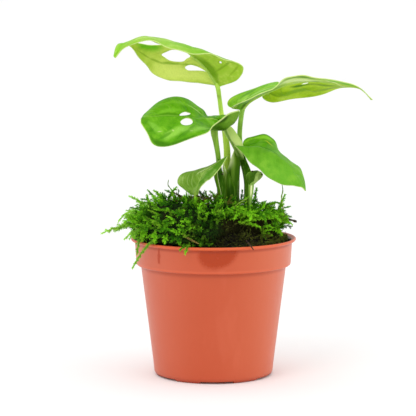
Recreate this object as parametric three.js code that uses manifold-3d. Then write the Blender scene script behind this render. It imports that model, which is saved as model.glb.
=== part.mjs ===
// Potted swiss cheese vine: a young plant with arched, holed leaves on slim petioles,
// standing in a mossy root ball in a terracotta coloured plastic nursery pot.
// Millimetres, +Z up. The origin is the centre of the pot's foot, and the front is -Y.

import * as THREE from 'three';
import { mergeVertices } from 'three/addons/utils/BufferGeometryUtils.js';
import Module from 'manifold-3d';

const wasm = await Module();
wasm.setup();

// Driving dimensions
const POT_HEIGHT = 100.4;
const LIP_RADIUS = 60;
const BAND_TOP_RADIUS = 57.2;
const BAND_FOOT_RADIUS = 56.3;
const BAND_FOOT_Z = 81.5;
const BODY_TOP_RADIUS = 52.8;
const BODY_FOOT_RADIUS = 43.4;
const WALL = 1.3;
const FLOOR_TOP = 4.6;
const FOOT_RECESS = 2.6;
const PAD_RADIUS = 12;
const SOIL_RIM_Z = 96;
const SOIL_CROWN_Z = 113;
const BLADE = 0.7;
const GAP = 0.3;
const STEM_FOOT_Z = 97;
const SOIL_RADIUS = 54;
const MOSS_THICKNESS = 13;
const MOSS_RADIUS = 57;
const MOSS_SEAT_Z = POT_HEIGHT + 0.7;
const DRAIN_COUNT = 8;
const DRAIN_RADIUS = 3.2;
const DRAIN_RING = 27;
const SLOT_COUNT = 6;
const SLOT = { width: 24, depth: 14, height: 3, ring: 42, turn: 0.06 };
const SEED = 41;

// Facets: as few as keep the outlines
const POT_SIDES = 48;
const SOIL_SIDES = 28;
const STALK_SIDES = 8;
const TWIG_SIDES = 6;
const FROND_COUNT = 45;
const STRAND_COUNT = 14;

// Repeatable random numbers between 0 and 1
let randomState = SEED;
function random() {
  randomState = (randomState * 1664525 + 1013904223) % 4294967296;
  return randomState / 4294967296;
}

function between(low, high) {
  return low + (high - low) * random();
}

// A point given by its heading round the pot's axis, its radius and its height
function aroundPot(heading, radius, z) {
  return new THREE.Vector3(Math.cos(heading) * radius, Math.sin(heading) * radius, z);
}

// Solids from plain lists of points and triangles, and back to geometry

function solidFromGeometry(geometry) {
  const bare = geometry.clone();
  bare.deleteAttribute('normal');
  bare.deleteAttribute('uv');
  const merged = mergeVertices(bare, 1e-3);
  const corners = Array.from(merged.index.array);
  const triangles = [];
  for (let i = 0; i < corners.length; i += 3) {
    const [a, b, c] = corners.slice(i, i + 3);
    if (a !== b && b !== c && c !== a) triangles.push(a, b, c);
  }
  return new wasm.Manifold(new wasm.Mesh({
    numProp: 3,
    vertProperties: new Float32Array(merged.attributes.position.array),
    triVerts: new Uint32Array(triangles),
  }));
}

function geometryFromSolid(solid) {
  const mesh = solid.getMesh();
  const geometry = new THREE.BufferGeometry();
  const corners = new Float32Array(mesh.vertProperties);
  geometry.setAttribute('position', new THREE.BufferAttribute(corners, 3));
  geometry.setIndex(new THREE.BufferAttribute(new Uint32Array(mesh.triVerts), 1));
  return geometry;
}

function solidFromPoints(points, triangles) {
  const geometry = new THREE.BufferGeometry();
  const corners = points.flatMap((p) => [p.x, p.y, p.z]);
  geometry.setAttribute('position', new THREE.Float32BufferAttribute(corners, 3));
  geometry.setIndex(triangles.flat());
  return solidFromGeometry(geometry);
}

function fuse(solids) {
  return solids.reduce((whole, solid) => whole.add(solid));
}

// Cutting can leave crumbs: a grown piece is one body, so only the largest is kept
function mainBody(solid) {
  const bodies = solid.decompose();
  return bodies.reduce((best, body) => (body.volume() > best.volume() ? body : best));
}

// Leaf blades

// A leaf is three curves from its base to its tip: the midrib, and the margin on the near and
// on the far side. Between them each half is a bent sheet, and a belly lifts its middle off the
// straight line. Points are x, y, z in mm, with the same number of stations on every curve.
// The grid is how many rows and columns of facets the blade is built from.

const leafTopLeft = {
  grid: [24, 8],
  midrib: [[3, 0, 210], [-2, -2, 218], [-8, -4, 226], [-15, -7, 232], [-24, -10, 239],
    [-35, -14, 244], [-45, -18, 246], [-55, -22, 245], [-65, -26, 238], [-70, -28, 231]],
  near: [[5, -1, 210], [16, -9, 214], [21, -17, 223], [11, -25, 230], [-2, -31, 234],
    [-17, -35, 235], [-31, -37, 239], [-46, -36, 244], [-62, -31, 239], [-70, -29, 231]],
  far: [[0, 1, 211], [-10, 6, 212], [-21, 9, 213], [-33, 10, 214], [-43, 9, 218],
    [-48, 6, 224], [-54, 0, 231], [-60, -8, 239], [-68, -18, 241], [-71, -27, 232]],
  nearBelly: [[0, 0, 0], [0, 0, 0], [0, 0, 0], [0, 0, 2], [0, 0, 5],
    [0, 0, 6], [0, 0, 5], [0, 0, 3], [0, 0, 1], [0, 0, 0]],
  farBelly: [[0, 0, 0], [0, 3, 0], [0, 5, 0], [0, 6, 0], [-1, 6, 2],
    [-1, 6, 2], [-1, 5, 2], [0, 3, 1], [0, 0, 0], [0, 0, 0]],
  holes: [
    [[0.49, -0.52], [0.48, -0.38], [0.44, -0.2], [0.37, -0.1],
      [0.34, -0.12], [0.35, -0.3], [0.38, -0.43], [0.44, -0.55]],
    [[0.32, -0.4], [0.3, -0.28], [0.23, -0.16], [0.17, -0.1], [0.2, -0.24], [0.24, -0.4], [0.28, -0.48]],
    [[0.72, -0.55], [0.68, -0.36], [0.62, -0.26], [0.56, -0.24], [0.6, -0.38], [0.66, -0.5]],
    [[0.28, 0.52], [0.26, 0.56], [0.24, 0.52], [0.26, 0.48]],
  ],
};

const leafMidLeft = {
  grid: [22, 8],
  midrib: [[4, -7, 185], [2, -8, 186], [-1, -9, 187], [-4, -10, 187], [-7, -12, 188], [-11, -15, 188],
    [-17, -19, 189], [-25, -25, 190], [-33, -32, 191], [-41, -40, 191], [-47, -47, 191], [-51, -54, 189]],
  near: [[5, -8, 184], [15, -14, 191], [18, -20, 192], [12, -25, 192], [6, -29, 189], [0, -33, 184],
    [-6, -38, 179], [-21, -45, 173], [-34, -51, 170], [-43, -55, 172], [-46, -57, 181], [-51, -55, 188]],
  far: [[5, -6, 186], [11, -3, 189], [9, 0, 189], [4, 2, 189], [-1, 3, 188], [-5, 3, 189],
    [-9, 2, 194], [-18, -1, 200], [-29, -6, 202], [-40, -17, 199], [-48, -34, 193], [-51, -53, 190]],
  nearBelly: [[0, 0, 0], [4, 0, -4], [5, 0, -6], [7, 0, -8], [7, 0, -9], [5, 0, -6],
    [1, 0, -1], [0, 0, 1], [0, 0, 1], [0, 0, 1], [0, 0, 0], [0, 0, 0]],
  farBelly: [[0, 0, 0], [0, 0, 0], [0, 0, 0], [0, 0, 0], [0, 0, 0], [0, 0, 0],
    [0, 0, 1], [0, 0, 2], [0, 0, 2], [0, 0, 1], [0, 0, 0], [0, 0, 0]],
  holes: [
    [[0.65, -0.05], [0.64, -0.12], [0.61, -0.2], [0.57, -0.18], [0.55, -0.08], [0.6, -0.04]],
    [[0.65, 0.32], [0.63, 0.16], [0.58, 0.1], [0.55, 0.16],
      [0.56, 0.34], [0.6, 0.45], [0.64, 0.42]],
  ],
};

const leafRight = {
  grid: [26, 6],
  midrib: [[21, 1, 193], [23, 0, 196], [26, -1, 199], [31, -2, 202], [37, -3, 205], [44, -4, 208],
    [51, -5, 211], [60, -6, 213], [70, -7, 214], [81, -8, 213],
    [93, -9, 211], [105, -9, 209], [114, -9, 200]],
  near: [[19, -1, 193], [13, -8, 195], [19, -16, 199], [29, -22, 204], [38, -26, 208], [45, -28, 212],
    [52, -29, 218], [61, -30, 219], [71, -28, 218], [81, -24, 216],
    [92, -18, 211], [105, -12, 208], [115, -10, 200]],
  far: [[20, 3, 194], [11, 8, 195], [12, 13, 200], [25, 18, 206], [36, 21, 209], [44, 22, 211],
    [39, 18, 201], [49, 16, 198], [65, 14, 201], [81, 10, 205],
    [94, 3, 211], [105, -6, 209], [114, -8, 200]],
  nearBelly: [[0, 0, 0], [0, 0, 0], [0, 0, 0], [0, 0, 0], [0, 0, 0], [0, 0, 0],
    [0, 0, -1], [0, 0, -1], [0, 0, -1], [0, 0, 0], [0, 0, 0], [0, 0, 0], [0, 0, 0]],
  farBelly: [[0, 0, 0], [0, 0, -1], [0, 0, -1], [0, 0, -1], [0, 0, -1], [0, 0, -1],
    [0, 0, -1], [0, 0, -1], [0, 0, 0], [0, 0, 0], [0, 0, 0], [0, 0, 0], [0, 0, 0]],
  holes: [
    [[0.68, -0.16], [0.66, -0.1], [0.62, -0.1], [0.61, -0.15], [0.64, -0.22]],
  ],
};

const leafLowerRight = {
  grid: [20, 6],
  midrib: [[21, -8, 165], [26, -10, 167], [31, -12, 168], [37, -15, 166], [42, -19, 164],
    [48, -23, 160], [54, -28, 155], [58, -32, 150], [63, -36, 144], [65, -39, 138]],
  near: [[19, -10, 164], [15, -13, 168], [20, -18, 164], [25, -24, 158], [32, -30, 153],
    [39, -35, 147], [48, -40, 143], [57, -42, 142], [62, -42, 141], [65, -40, 138]],
  far: [[21, -7, 167], [22, -4, 171], [26, -1, 173], [36, 2, 175], [43, 3, 172],
    [47, 0, 164], [53, -6, 158], [61, -14, 153], [64, -26, 147], [65, -38, 139]],
  nearBelly: [[0, 0, 0], [0, 0, 0], [0, 0, 1], [0, 0, 1], [0, 0, 2],
    [0, 0, 2], [0, 0, 1], [0, 0, 1], [0, 0, 0], [0, 0, 0]],
  farBelly: [[0, 0, 0], [0, 0, 0], [0, 0, -1], [0, 0, -1], [0, 0, -1],
    [0, 0, 0], [0, 0, 1], [0, 0, 1], [0, 0, 0], [0, 0, 0]],
  holes: [],
};

const leafSmall = {
  grid: [12, 6],
  midrib: [[-13, -16, 132], [-12, -17, 137], [-10, -18, 143], [-7, -19, 149], [-2, -19, 153],
    [4, -18, 157], [10, -16, 161]],
  near: [[-11, -18, 133], [-10, -22, 138], [-6, -25, 143], [-2, -27, 146], [2, -26, 150],
    [6, -23, 155], [10, -17, 161]],
  far: [[-16, -14, 133], [-22, -11, 137], [-26, -8, 141], [-23, -7, 147], [-13, -9, 150],
    [-2, -13, 154], [10, -15, 161]],
  holes: [],
};

const leafYoung = {
  grid: [8, 4],
  midrib: [[26, -22, 126], [27, -22, 132], [28, -21, 138], [29, -20, 143], [30, -21, 146], [31, -23, 150]],
  near: [[25, -23, 126], [25, -24, 133], [25, -26, 140], [23, -28, 145], [23, -29, 149], [27, -27, 151]],
  far: [[27, -21, 126], [29, -20, 132], [30, -19, 138], [32, -18, 143], [35, -19, 147], [32, -21, 151]],
  holes: [],
};

function curveThrough(rows) {
  const points = rows.map((row) => new THREE.Vector3(...row));
  return new THREE.CatmullRomCurve3(points, false, 'catmullrom', 0.5);
}

function leafCurves(leaf) {
  const flat = leaf.midrib.map(() => [0, 0, 0]);
  return {
    midrib: curveThrough(leaf.midrib),
    near: curveThrough(leaf.near),
    far: curveThrough(leaf.far),
    nearBelly: curveThrough(leaf.nearBelly ?? flat),
    farBelly: curveThrough(leaf.farBelly ?? flat),
  };
}

// A point of the sheet: along runs from 0 at the base to 1 at the tip, and across runs from -1 at
// the far margin to 1 at the near one
function sheetPoint(curves, along, across) {
  const reach = Math.abs(across);
  const root = curves.midrib.getPoint(along);
  const edge = (across < 0 ? curves.far : curves.near).getPoint(along);
  const belly = (across < 0 ? curves.farBelly : curves.nearBelly).getPoint(along);
  return root.multiplyScalar(1 - reach)
    .addScaledVector(edge, reach)
    .addScaledVector(belly, 4 * reach * (1 - reach));
}

// The sheet comes to a point at the tip, so its slopes are measured just short of that
function sheetNormal(curves, along, across) {
  const step = 0.02;
  const reach = 3 * step;
  const centre = Math.min(Math.max(along, step), 1 - 2 * step);
  const behind = Math.max(Math.min(along, centre) - step, 0);
  const ahead = Math.min(along + step, 1 - step);
  const left = Math.max(across - reach, -1);
  const right = Math.min(across + reach, 1);
  const forward = sheetPoint(curves, ahead, across).sub(sheetPoint(curves, behind, across));
  const sideways = sheetPoint(curves, centre, right).sub(sheetPoint(curves, centre, left));
  return forward.cross(sideways).normalize();
}

// How far the margin at row i, column j is moved out when the blade is swollen by grown
function marginShift(sheet, rows, columns, i, j, grown) {
  const at = (row, column) => sheet[row * (columns + 1) + column];
  const shift = new THREE.Vector3();
  const inward = [];
  if (i === 0) inward.push(at(1, j));
  if (i === rows) inward.push(at(i - 1, j));
  if (j === 0) inward.push(at(i, 1));
  if (j === columns) inward.push(at(i, j - 1));
  for (const neighbour of inward) shift.add(at(i, j).clone().sub(neighbour).setLength(grown));
  return shift;
}

// The blade as a closed plate with the same triangles on both faces; grown swells it all round
function bladeSolid(leaf, grown = 0) {
  const curves = leafCurves(leaf);
  const half = BLADE / 2 + grown;
  const tip = 0.993; // a blunt end, so that no triangle is degenerate
  const [rows, columns] = leaf.grid;
  const sheet = [];
  const normals = [];
  for (let i = 0; i <= rows; i += 1) {
    const along = (tip * i) / rows;
    for (let j = 0; j <= columns; j += 1) {
      const across = -1 + (2 * j) / columns;
      sheet.push(sheetPoint(curves, along, across));
      normals.push(sheetNormal(curves, along, across));
    }
  }
  const at = (i, j) => i * (columns + 1) + j;
  const swollen = sheet.map((p, index) => {
    const i = Math.floor(index / (columns + 1));
    return p.clone().add(marginShift(sheet, rows, columns, i, index % (columns + 1), grown));
  });
  const count = sheet.length;
  const points = [
    ...swollen.map((p, index) => p.clone().addScaledVector(normals[index], half)),
    ...swollen.map((p, index) => p.clone().addScaledVector(normals[index], -half)),
  ];
  const triangles = [];
  for (let i = 0; i < rows; i += 1) {
    for (let j = 0; j < columns; j += 1) {
      const quad = [at(i, j), at(i + 1, j), at(i + 1, j + 1), at(i, j + 1)];
      const split = (i + j) % 2 === 0
        ? [[quad[0], quad[1], quad[2]], [quad[0], quad[2], quad[3]]]
        : [[quad[0], quad[1], quad[3]], [quad[1], quad[2], quad[3]]];
      for (const [a, b, c] of split) {
        triangles.push([a, b, c]);
        triangles.push([c + count, b + count, a + count]);
      }
    }
  }
  const border = [];
  for (let j = columns; j > 0; j -= 1) border.push(at(0, j));
  for (let i = 0; i < rows; i += 1) border.push(at(i, 0));
  for (let j = 0; j < columns; j += 1) border.push(at(rows, j));
  for (let i = rows; i > 0; i -= 1) border.push(at(i, columns));
  border.forEach((a, index) => {
    const b = border[(index + 1) % border.length];
    triangles.push([b, a, a + count]);
    triangles.push([b, a + count, b + count]);
  });
  return solidFromPoints(points, triangles);
}

// A plug through the blade along a smooth closed outline, for one of the leaf's natural holes
function holePlug(leaf, outline) {
  const curves = leafCurves(leaf);
  const corners = outline.map(([along, across]) => new THREE.Vector3(along, across, 0));
  const ring = new THREE.CatmullRomCurve3(corners, true)
    .getSpacedPoints(outline.length * 2)
    .slice(0, -1);
  const centre = ring.reduce((sum, p) => sum.add(p), new THREE.Vector3()).divideScalar(ring.length);
  const depth = 2.3 * BLADE;
  const points = [];
  for (const face of [1, -1]) {
    for (const p of [centre, ...ring]) {
      const normal = sheetNormal(curves, p.x, p.y);
      points.push(sheetPoint(curves, p.x, p.y).addScaledVector(normal, face * depth));
    }
  }
  const other = ring.length + 1;
  const area = ring.reduce((sum, p, index) => {
    const q = ring[(index + 1) % ring.length];
    return sum + p.x * q.y - q.x * p.y;
  }, 0);
  const triangles = [];
  ring.forEach((p, index) => {
    const a = 1 + index;
    const b = 1 + ((index + 1) % ring.length);
    triangles.push([0, a, b], [other, other + b, other + a]);
    triangles.push([a, other + a, b], [b, other + a, other + b]);
  });
  return solidFromPoints(points, area > 0 ? triangles : triangles.map(([a, b, c]) => [a, c, b]));
}

function leafBlade(leaf) {
  let blade = bladeSolid(leaf);
  for (const outline of leaf.holes) blade = blade.subtract(holePlug(leaf, outline));
  return mainBody(blade);
}

// Petioles and sheaths

// A stalk is a list of stations from its foot up: x, y, z, half width, half depth
const stalkTall = [
  [11.5, 0, STEM_FOOT_Z, 4.2, 3], [11.5, 0, 112, 4.3, 3], [11.5, 0, 130, 4.3, 3], [11.5, 1, 142, 4, 2.8],
  [11, 3, 154, 3, 2.4], [10, 4.6, 165, 2.3, 2.1], [8.2, 6, 178, 2, 1.9], [6.2, 6, 190, 1.8, 1.8],
  [4.8, 3.6, 201, 1.7, 1.7], [3.2, 0.2, 208.5, 1.9, 1.7], [2, -0.6, 212, 1.5, 1.3],
];
const stalkBranch = [
  [8, 6, 178.5, 1.6, 1.6], [8.2, 2.8, 181.4, 2.2, 2], [10, -0.8, 179.6, 3, 2.4],
  [13, -3.2, 175, 3.2, 2.5], [17, -5.6, 170, 2.9, 2.2], [20, -7.4, 166.8, 1.9, 1.5],
  [21.8, -8.4, 165.4, 1.2, 1],
];
const stalkMidLeft = [
  [5, -9, STEM_FOOT_Z, 2.2, 2.2], [5, -9, 112, 2.4, 2.4], [5, -8.8, 131, 2.6, 2.4],
  [4.2, -8.4, 142, 2.3, 2.2],
  [3.8, -8.4, 152, 2.1, 2], [3.2, -9, 161, 2, 1.9], [1.8, -9.8, 171, 2, 1.9], [1, -9.6, 178.5, 1.9, 1.8],
  [2.2, -8.4, 183, 1.7, 1.5], [3, -7.6, 185, 1.2, 1.1],
];
const stalkRight = [
  [24.5, 1, STEM_FOOT_Z, 2.9, 2.6], [24.5, 1, 112, 3, 2.7], [24.5, 1, 129, 3.2, 2.8],
  [23.4, 2, 138, 3, 2.6],
  [21.6, 3.4, 149, 2.6, 2.3], [20, 4.6, 160, 2.1, 2], [19.4, 4.8, 171, 1.9, 1.8], [19.6, 4, 180, 1.8, 1.7],
  [20.6, 2.8, 187.5, 1.8, 1.7], [21.4, 1.4, 192.5, 2, 1.7], [22.6, 0.6, 195.2, 1.4, 1.2],
];
const sheathMiddle = [
  [18, -2.6, STEM_FOOT_Z, 2, 2.2], [18, -2.6, 112, 2.1, 2.3], [17.9, -2.6, 130, 2.1, 2.3],
  [17.4, -2.8, 143, 2, 2], [16.8, -2.8, 153, 1.5, 1.5], [17.2, -3, 162, 0.6, 0.6],
];
const stalkSmall = [
  [-12.4, -15, STEM_FOOT_Z, 1.5, 1.5], [-12.6, -15.2, 112, 1.5, 1.5], [-13, -15.8, 125, 1.6, 1.5],
  [-13, -16, 131, 1.7, 1.5], [-12.8, -16.4, 134, 1.2, 1.1],
];
const stalkYoung = [
  [26, -20, STEM_FOOT_Z, 1.3, 1.3], [26, -20.6, 112, 1.4, 1.4], [26, -21.8, 122, 1.5, 1.4],
  [26, -22, 127.5, 1.3, 1.2],
];

function stalkSolid(stations, grown = 0, sides = STALK_SIDES) {
  const path = curveThrough(stations.map((s) => s.slice(0, 3)));
  const size = curveThrough(stations.map((s) => [s[3], s[4], 0]));
  const rings = (stations.length - 1) * 2;
  const points = [];
  for (let i = 0; i <= rings; i += 1) {
    const t = i / rings;
    const tangent = path.getTangent(t);
    const side = new THREE.Vector3(1, 0, 0).addScaledVector(tangent, -tangent.x).normalize();
    const front = tangent.clone().cross(side);
    const centre = path.getPoint(t);
    if (i === 0) centre.addScaledVector(tangent, -grown);
    if (i === rings) centre.addScaledVector(tangent, grown);
    const radius = size.getPoint(t);
    for (let k = 0; k < sides; k += 1) {
      const angle = (2 * Math.PI * k) / sides;
      points.push(centre.clone()
        .addScaledVector(side, Math.cos(angle) * (radius.x + grown))
        .addScaledVector(front, Math.sin(angle) * (radius.y + grown)));
    }
  }
  const foot = points.length;
  points.push(path.getPoint(0).addScaledVector(path.getTangent(0), -grown));
  points.push(path.getPoint(1).addScaledVector(path.getTangent(1), grown));
  const triangles = [];
  for (let i = 0; i < rings; i += 1) {
    for (let k = 0; k < sides; k += 1) {
      const a = i * sides + k;
      const b = i * sides + ((k + 1) % sides);
      triangles.push([a, b, b + sides], [a, b + sides, a + sides]);
    }
  }
  for (let k = 0; k < sides; k += 1) {
    const next = (k + 1) % sides;
    triangles.push([foot, next, k], [foot + 1, rings * sides + k, rings * sides + next]);
  }
  return solidFromPoints(points, triangles);
}

// Pot

function turned(profile, sides) {
  const lathe = new THREE.LatheGeometry(profile.map(([r, z]) => new THREE.Vector2(r, z)), sides);
  lathe.rotateX(Math.PI / 2);
  const solid = solidFromGeometry(lathe);
  if (solid.volume() > 0) return solid;
  const reversed = lathe.clone();
  reversed.setIndex(Array.from(lathe.index.array).reverse());
  return solidFromGeometry(reversed);
}

function potSolid() {
  const bandInner = BAND_TOP_RADIUS - WALL;
  const profile = [
    [0, 0], [PAD_RADIUS, 0], [PAD_RADIUS + 1, FOOT_RECESS], [36, FOOT_RECESS], [37.4, 0], [41, 0],
    [42.4, 1], [BODY_FOOT_RADIUS, 3.6], [BODY_FOOT_RADIUS + 0.5, 8], [BODY_TOP_RADIUS, 79.6],
    [BODY_TOP_RADIUS + 0.5, 80.6], [BAND_FOOT_RADIUS - 0.9, 80.8], [BAND_FOOT_RADIUS, BAND_FOOT_Z + 0.6],
    [BAND_TOP_RADIUS, 97.4], [LIP_RADIUS - 0.8, 98.3], [LIP_RADIUS, 99.3],
    [LIP_RADIUS - 0.3, POT_HEIGHT - 0.3], [LIP_RADIUS - 1.2, POT_HEIGHT], [bandInner + 0.8, 99.3],
    [bandInner, 97.6], [BAND_FOOT_RADIUS - WALL, 83.4], [BAND_FOOT_RADIUS - WALL - 0.6, 82.3],
    [BODY_TOP_RADIUS - WALL + 0.3, 81.6], [BODY_TOP_RADIUS - WALL, 80],
    [BODY_FOOT_RADIUS - WALL + 0.5, 7], [BODY_FOOT_RADIUS - WALL - 0.6, FLOOR_TOP], [0, FLOOR_TOP],
  ];
  let pot = turned(profile, POT_SIDES);
  for (let k = 0; k < DRAIN_COUNT; k += 1) {
    const angle = (2 * Math.PI * (k + 0.5)) / DRAIN_COUNT;
    const drain = new THREE.CylinderGeometry(DRAIN_RADIUS, DRAIN_RADIUS, 2 * FLOOR_TOP, 12);
    drain.rotateX(Math.PI / 2);
    drain.translate(DRAIN_RING * Math.cos(angle), DRAIN_RING * Math.sin(angle), FLOOR_TOP / 2);
    pot = pot.subtract(solidFromGeometry(drain));
  }
  // Slots under the foot's ring, the first of them at the front, let the water run away
  for (let k = 0; k < SLOT_COUNT; k += 1) {
    const slot = new THREE.BoxGeometry(SLOT.depth, SLOT.width, SLOT.height);
    slot.translate(SLOT.ring, 0, 0);
    slot.rotateZ(-Math.PI / 2 + SLOT.turn + (2 * Math.PI * k) / SLOT_COUNT);
    pot = pot.subtract(solidFromGeometry(slot));
  }
  return pot;
}

// Root ball of dark peat, domed above the rim

const domeRadii = [53, 45, 36, 26, 15];

function soilHeight(radius) {
  const share = Math.min(radius / SOIL_RADIUS, 1);
  return SOIL_CROWN_Z - (SOIL_CROWN_Z - SOIL_RIM_Z) * share * share * (1.6 - 0.6 * share);
}

function soilSolid() {
  const inner = BODY_TOP_RADIUS - WALL - GAP;
  const base = BODY_FOOT_RADIUS - WALL - GAP;
  return turned([
    [0, FLOOR_TOP + GAP], [base - 0.7, FLOOR_TOP + GAP], [base + 0.3, 7], [inner - 0.1, 79.8],
    [inner + 0.3, 82.4], [SOIL_RADIUS + 0.1, 84], [SOIL_RADIUS + 0.6, SOIL_RIM_Z - 1],
    ...domeRadii.map((radius) => [radius, soilHeight(radius)]),
    [0, SOIL_CROWN_Z],
  ], SOIL_SIDES);
}

// Moss

// How far the cushion spreads at a given heading: it stays back from the bare peat at the
// front right, which takes up about a fifth of the way round
const BARE_HEADING = THREE.MathUtils.degToRad(-58);
const BARE_SPREAD = 0.62;
const BARE_DEPTH = 27;

function mossReach(heading) {
  const turn = Math.atan2(Math.sin(heading - BARE_HEADING), Math.cos(heading - BARE_HEADING));
  return MOSS_RADIUS - BARE_DEPTH * Math.exp(-((turn / BARE_SPREAD) ** 4));
}

// The underside of the moss: on the peat, and over the rim just clear of the pot's lip
function mossFloor(radius) {
  const onPeat = soilHeight(radius) + GAP;
  return radius > SOIL_RADIUS - 1.5 ? Math.max(onPeat, MOSS_SEAT_Z) : onPeat;
}

function mossLift(share) {
  return (MOSS_THICKNESS + 4 * share) * Math.sqrt(1 - share ** 6);
}

// The cushion's core: every second corner of its top stands up as a tuft between the fronds
function mossCore() {
  const rings = 5;
  const sides = 28;
  const tuft = 2.2;
  const brim = 1.2;
  const upper = [new THREE.Vector3(0, 0, SOIL_CROWN_Z + MOSS_THICKNESS)];
  const lower = [new THREE.Vector3(0, 0, SOIL_CROWN_Z + GAP)];
  for (let i = 1; i <= rings; i += 1) {
    const share = i / rings;
    for (let k = 0; k < sides; k += 1) {
      const heading = (2 * Math.PI * k) / sides;
      const radius = mossReach(heading) * Math.sin((share * Math.PI) / 2) ** 0.9;
      const raised = (i + k) % 2 === 0 ? tuft : -tuft;
      const lump = i < rings ? raised + between(-0.8, 0.8) : 0;
      const lift = Math.max(mossLift(share) + lump, brim);
      upper.push(aroundPot(heading, radius, mossFloor(radius) + lift));
      lower.push(aroundPot(heading, radius, mossFloor(radius)));
    }
  }
  const count = upper.length;
  const at = (i, k) => 1 + (i - 1) * sides + (k % sides);
  const triangles = [];
  for (let k = 0; k < sides; k += 1) {
    triangles.push([0, at(1, k), at(1, k + 1)], [count, count + at(1, k + 1), count + at(1, k)]);
    for (let i = 1; i < rings; i += 1) {
      const [a, b, c, d] = [at(i, k), at(i + 1, k), at(i + 1, k + 1), at(i, k + 1)];
      triangles.push([a, b, c], [a, c, d]);
      triangles.push([count + c, count + b, count + a], [count + d, count + c, count + a]);
    }
    const [a, b] = [at(rings, k), at(rings, k + 1)];
    triangles.push([a, count + a, b], [b, count + a, count + b]);
  }
  return solidFromPoints([...upper, ...lower], triangles);
}

// A thin three sided spike, bent downwards along its length
function spike(root, direction, length, radius, droop, steps) {
  const up = Math.abs(direction.z) > 0.9 ? new THREE.Vector3(1, 0, 0) : new THREE.Vector3(0, 0, 1);
  const side = direction.clone().cross(up).normalize();
  const top = side.clone().cross(direction).normalize();
  const points = [];
  const centreAt = (t) => root.clone()
    .addScaledVector(direction, length * t)
    .add(new THREE.Vector3(0, 0, -droop * t * t));
  for (let i = 0; i < steps; i += 1) {
    const t = i / steps;
    for (let k = 0; k < 3; k += 1) {
      const angle = (2 * Math.PI * k) / 3 + Math.PI / 2;
      points.push(centreAt(t)
        .addScaledVector(side, Math.cos(angle) * radius * (1 - 0.7 * t))
        .addScaledVector(top, Math.sin(angle) * radius * (1 - 0.7 * t)));
    }
  }
  const tip = points.length;
  points.push(centreAt(1));
  const triangles = [[0, 1, 2]];
  for (let i = 0; i < steps - 1; i += 1) {
    for (let k = 0; k < 3; k += 1) {
      const a = i * 3 + k;
      const b = i * 3 + ((k + 1) % 3);
      triangles.push([a, b + 3, b], [a, a + 3, b + 3]);
    }
  }
  for (let k = 0; k < 3; k += 1) {
    triangles.push([(steps - 1) * 3 + ((k + 1) % 3), (steps - 1) * 3 + k, tip]);
  }
  return solidFromPoints(points, triangles);
}

// A frond of moss: one flat, bent plate with a toothed outline, its leaflets in pairs
function mossFrond(root, direction, length, width, droop, pairs) {
  const thickness = 0.9;
  const side = direction.clone().cross(new THREE.Vector3(0, 0, 1)).normalize();
  const top = side.clone().cross(direction).normalize();
  const stations = [[0, 0.3]];
  for (let p = 0; p < pairs; p += 1) {
    const taper = 1 - (0.55 * p) / pairs;
    stations.push([(p + 0.95) / (pairs + 0.8), taper], [(p + 1.05) / (pairs + 0.8), 0.3 * taper]);
  }
  stations.push([1, 0.12]);
  const points = [];
  for (const [t, share] of stations) {
    const centre = root.clone()
      .addScaledVector(direction, length * t)
      .add(new THREE.Vector3(0, 0, -droop * t * t));
    for (const [hand, face] of [[1, 1], [-1, 1], [-1, -1], [1, -1]]) {
      points.push(centre.clone()
        .addScaledVector(side, (hand * share * width) / 2)
        .addScaledVector(top, (face * thickness) / 2));
    }
  }
  const triangles = [];
  for (let i = 0; i < stations.length - 1; i += 1) {
    for (let k = 0; k < 4; k += 1) {
      const [c, d] = [4 * i + k, 4 * i + ((k + 1) % 4)];
      triangles.push([c, d + 4, d], [c, c + 4, d + 4]);
    }
  }
  const last = 4 * (stations.length - 1);
  triangles.push([0, 1, 2], [0, 2, 3], [last + 2, last + 1, last], [last + 3, last + 2, last]);
  return solidFromPoints(points, triangles);
}

// The fronds stand all over the cushion, evenly spread by the golden angle, and lean outwards
function greenMoss() {
  const pieces = [mossCore()];
  const goldenAngle = Math.PI * (3 - Math.sqrt(5));
  const rootDepth = 3;
  for (let n = 0; n < FROND_COUNT; n += 1) {
    const share = Math.sqrt((n + 0.5) / FROND_COUNT);
    const heading = n * goldenAngle;
    const radius = mossReach(heading) * share * 0.96;
    const lift = Math.max(mossLift(share) - rootDepth, 1.5);
    const root = aroundPot(heading, radius, mossFloor(radius) + lift);
    const swing = heading + between(-0.5, 0.5);
    const rise = between(0.5, 1.2) * (1.15 - share * 0.8);
    const direction = aroundPot(swing, 1, rise).normalize();
    const leftward = Math.max(0, -Math.cos(heading));
    const length = between(10, 14) + 4 * leftward * share;
    pieces.push(mossFrond(root, direction, length, between(5, 7), between(0, 3), 2));
  }
  // Long sprays that reach out over the rim on the left, and two that hang down over the band
  const sprays = [
    [[-50, -12, 105], [-1, -0.12, 0.35], 31, 6, 10, 5],
    [[-50, 2, 106], [-1, 0.1, 0.55], 24, 6, 8, 4],
    [[-46, -24, 104.5], [-1, -0.5, 0.4], 24, 6, 9, 4],
    [[-40, -35, 104.5], [-0.62, -0.78, 0.3], 20, 4, 21, 3],
    [[-28, -45, 104.5], [-0.5, -0.85, 0.35], 14, 4, 14, 3],
    [[48, 12, 106], [1, 0.1, 0.5], 16, 6, 4, 3],
  ];
  for (const [root, direction, ...size] of sprays) {
    const heading = new THREE.Vector3(...direction).normalize();
    pieces.push(mossFrond(new THREE.Vector3(...root), heading, ...size));
  }
  return fuse(pieces);
}

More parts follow.
